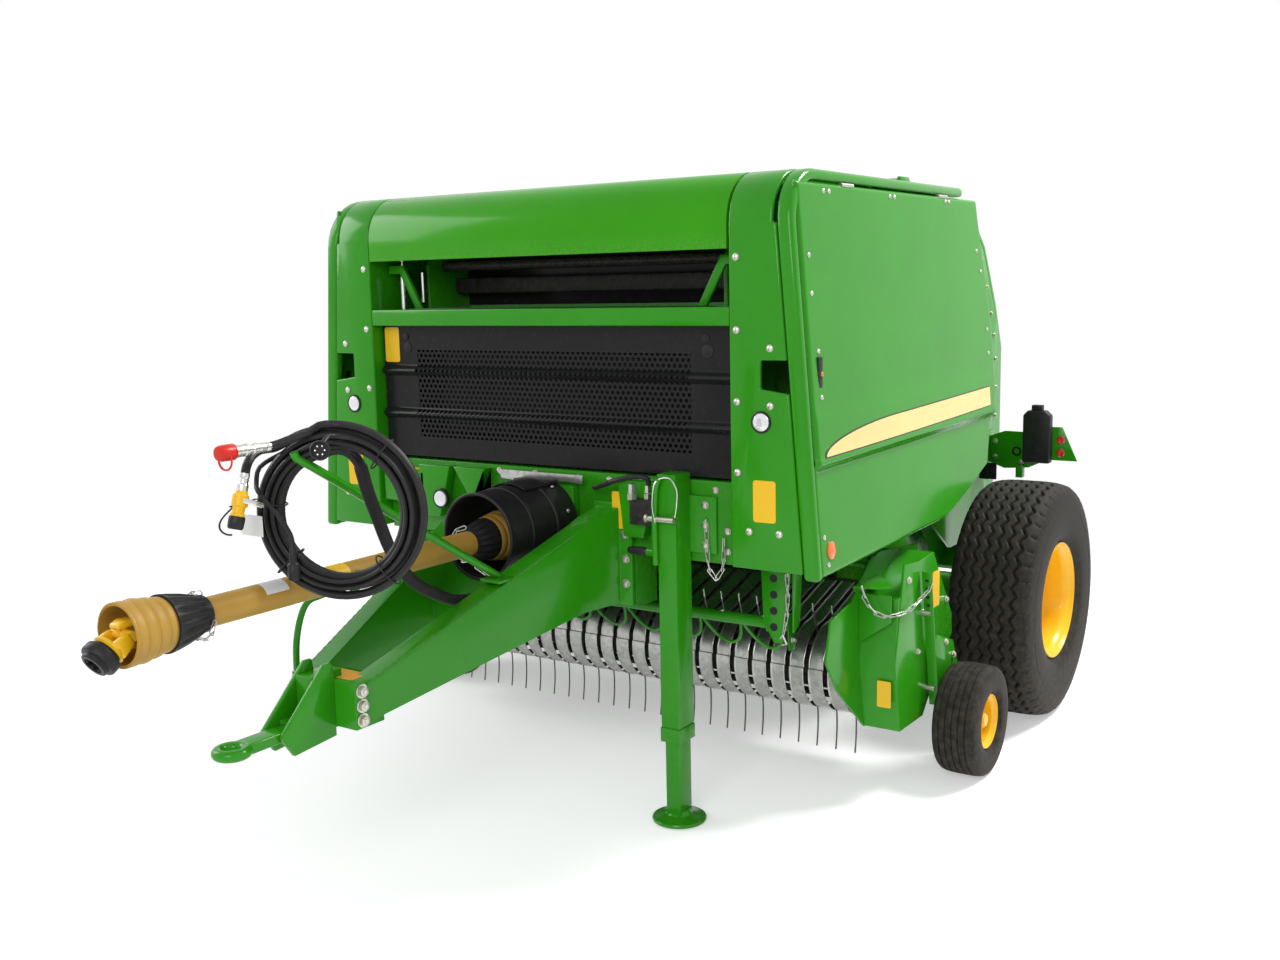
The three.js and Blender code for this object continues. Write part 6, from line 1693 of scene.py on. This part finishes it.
for side, sign in sides:
    softened("pickup_guard_folded_" + side, "pickup_guard_" + side, "pickup", body_green, 0.004, 3)
    softened("gauge_arm_flat_" + side, "gauge_arm_" + side, "pickup", body_green, 0.003)
    brace = plate([(sign * 0.894, 0.500), (sign * 1.000, 0.575), (sign * 1.000, 0.660),
        (sign * 0.894, 0.660)][::sign], "XZ", 0.452, 0.457, 0.001)
    shelf = plate([(sign * 0.894, 0.405), (sign * 0.965, 0.420), (sign * 1.000, 0.457),
        (sign * 0.894, 0.600)][::sign], "XY", 0.684, 0.689, 0.001)
    riser = plate([(0.405, 0.684), (0.452, 0.640), (0.560, 0.640), (0.560, 0.684)], "YZ",
        sign * 0.896 - 0.0025, sign * 0.896 + 0.0025, 0.001)
    hold(join([brace, shelf, riser]), "guard_brace_" + side, "pickup", body_green)
    strip_plate = plate([(0.655, 0.700), (0.660, 0.700), (0.738, 0.240), (0.733, 0.240)], "YZ",
        sign * 1.033 - 0.016, sign * 1.033 + 0.016, 0.001)
    hold(strip_plate, "height_strip_" + side, "pickup", body_green)
    spots = []
    for k in range(5):
        spots.append(turned([(0, 0), (0, 0.0065), (-0.0032, 0.0065), (-0.0032, 0)],
            at(sign * 1.033, 0.6625 + 0.0047 * k, 0.672 - 0.028 * k), "Y", 20))
    hold(join(spots), "height_strip_holes_" + side, "pickup", black_satin)
    spacers = [turned([(-0.014, 0), (-0.014, 0.011), (0.014, 0.011), (0.014, 0)], at(sign * 1.026, y, z),
        "X", 18) for y, z in ((0.682, 0.560), (0.726, 0.300))]
    hold(join(spacers), "height_strip_spacers_" + side, "pickup", zinc_plate)
    fasteners("guard_bolts_" + side, "pickup", [(at(sign * x, y, z), (sign, 0, 0), 0.009) for x, y,
        z in ((1.0122, 0.885, 0.560), (1.0122, 0.560, 0.690), (1.0122, 0.640, 0.440),
        (1.0342, 0.828, 0.430), (1.0342, 0.900, 0.370))])
    chain("guard_chain_" + side, "pickup", [at(sign * 0.930, 0.404, 0.676), at(sign * 0.945, 0.404, 0.640),
        at(sign * 0.985, 0.420, 0.605), at(sign * 1.022, 0.520, 0.600), at(sign * 1.042, 0.640, 0.640),
        at(sign * 1.045, 0.672, 0.668)])
    decal("guard_decal_top_" + side, "pickup", at(sign * 1.0123, 0.762 if sign > 0 else 0.822, 0.555),
        0.060, 0.120, along=(0, sign, 0))
    decal("guard_decal_low_" + side, "pickup", at(0.952 if sign > 0 else -0.998, 0.4612, 0.300), 0.046,
        0.085)

# ---------- Rear light carriers ----------
# A green plate off each side of the tailgate carries a black lamp box and a triangular plate with
# two round red reflectors.

CARRIER_Y = 2.100
for side, sign in sides:
    arms = [plate([(sign * x, z) for x, z in ((0.722, 0.860), (0.800, 0.832), (0.900, 0.840),
        (0.985, 0.880), (0.985, 0.940), (0.900, 0.986), (0.800, 0.988), (0.722, 0.960))][::sign], "XZ",
        CARRIER_Y, CARRIER_Y + 0.008, 0.001), plate([(sign * 0.994, 0.876), (sign * 1.096, 0.876),
        (sign * 1.034, 1.012), (sign * 0.980, 1.012), (sign * 0.980, 0.876)][::sign], "XZ", CARRIER_Y,
        CARRIER_Y + 0.008, 0.001), *(block(at(sign * x - half, CARRIER_Y + y0, z0),
        at(sign * x + half, CARRIER_Y + y1, z1)) for x, half, y0, y1, z0,
        z1 in ((0.729, 0.006, -0.060, 0.060, 0.832, 0.988), (0.870, 0.014, -0.030, 0.004, 0.800, 0.850)))]
    carrier = hold(join(arms), "light_carrier_plate_" + side, "tailgate", body_green)
    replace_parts(carrier, "light_carrier_" + side)
    box = plate([(sign * x, z) for x, z in ((0.886, 0.866), (0.996, 0.866), (0.996, 1.060), (0.975, 1.080),
        (0.905, 1.080), (0.886, 1.060))][::sign], "XZ", CARRIER_Y - 0.044, CARRIER_Y + 0.002, 0.006, 3)
    cap = block(at(sign * 0.940 - 0.022, CARRIER_Y - 0.036, 1.078),
        at(sign * 0.940 + 0.022, CARRIER_Y - 0.006, 1.102), 0.004)
    hold(join([box, cap]), "lamp_box_" + side, "tailgate", black_plastic)
    lamp_glass = block(at(sign * 0.941 - 0.046, CARRIER_Y + 0.0015, 0.880), at(sign * 0.941 + 0.046,
        CARRIER_Y + 0.0115, 1.050), 0.004, 3)
    hold(lamp_glass, "lamp_glass_" + side, "tailgate", lens_red)
    dots = [turned([(0, 0), (0, 0.017), (-0.003, 0.017), (-0.006, 0.013), (-0.0065, 0)],
        at(sign * 1.030, CARRIER_Y, z), "Y", 28) for z in (0.960, 0.908)]
    hold(join(dots), "carrier_reflectors_" + side, "tailgate", lens_red)
    ring_hole = turned([(-0.0012, 0.012), (0, 0.020), (-0.0012, 0.020), (-0.0012, 0.012)],
        at(sign * 0.850, CARRIER_Y, 0.905), "Y", 28)
    hold(ring_hole, "carrier_hole_rim_" + side, "tailgate", black_satin)
    fasteners("carrier_bolts_" + side, "tailgate", [(at(sign * x, CARRIER_Y, z), (0, -1, 0), 0.009) for x,
        z in ((0.760, 0.945), (0.760, 0.880), (0.870, 0.862))])
    bracket = join([block(at(sign * x - half, CARRIER_Y - 0.12, 0.800),
        at(sign * x + half, CARRIER_Y + y1, 0.868)) for x, half,
        y1 in ((0.770, 0.036, -0.112), (0.737, 0.003, -0.050))])
    hold(bracket, "rear_bracket_" + side, "tailgate", black_satin)

for master in fastener_masters.values():
    bpy.data.objects.remove(master)
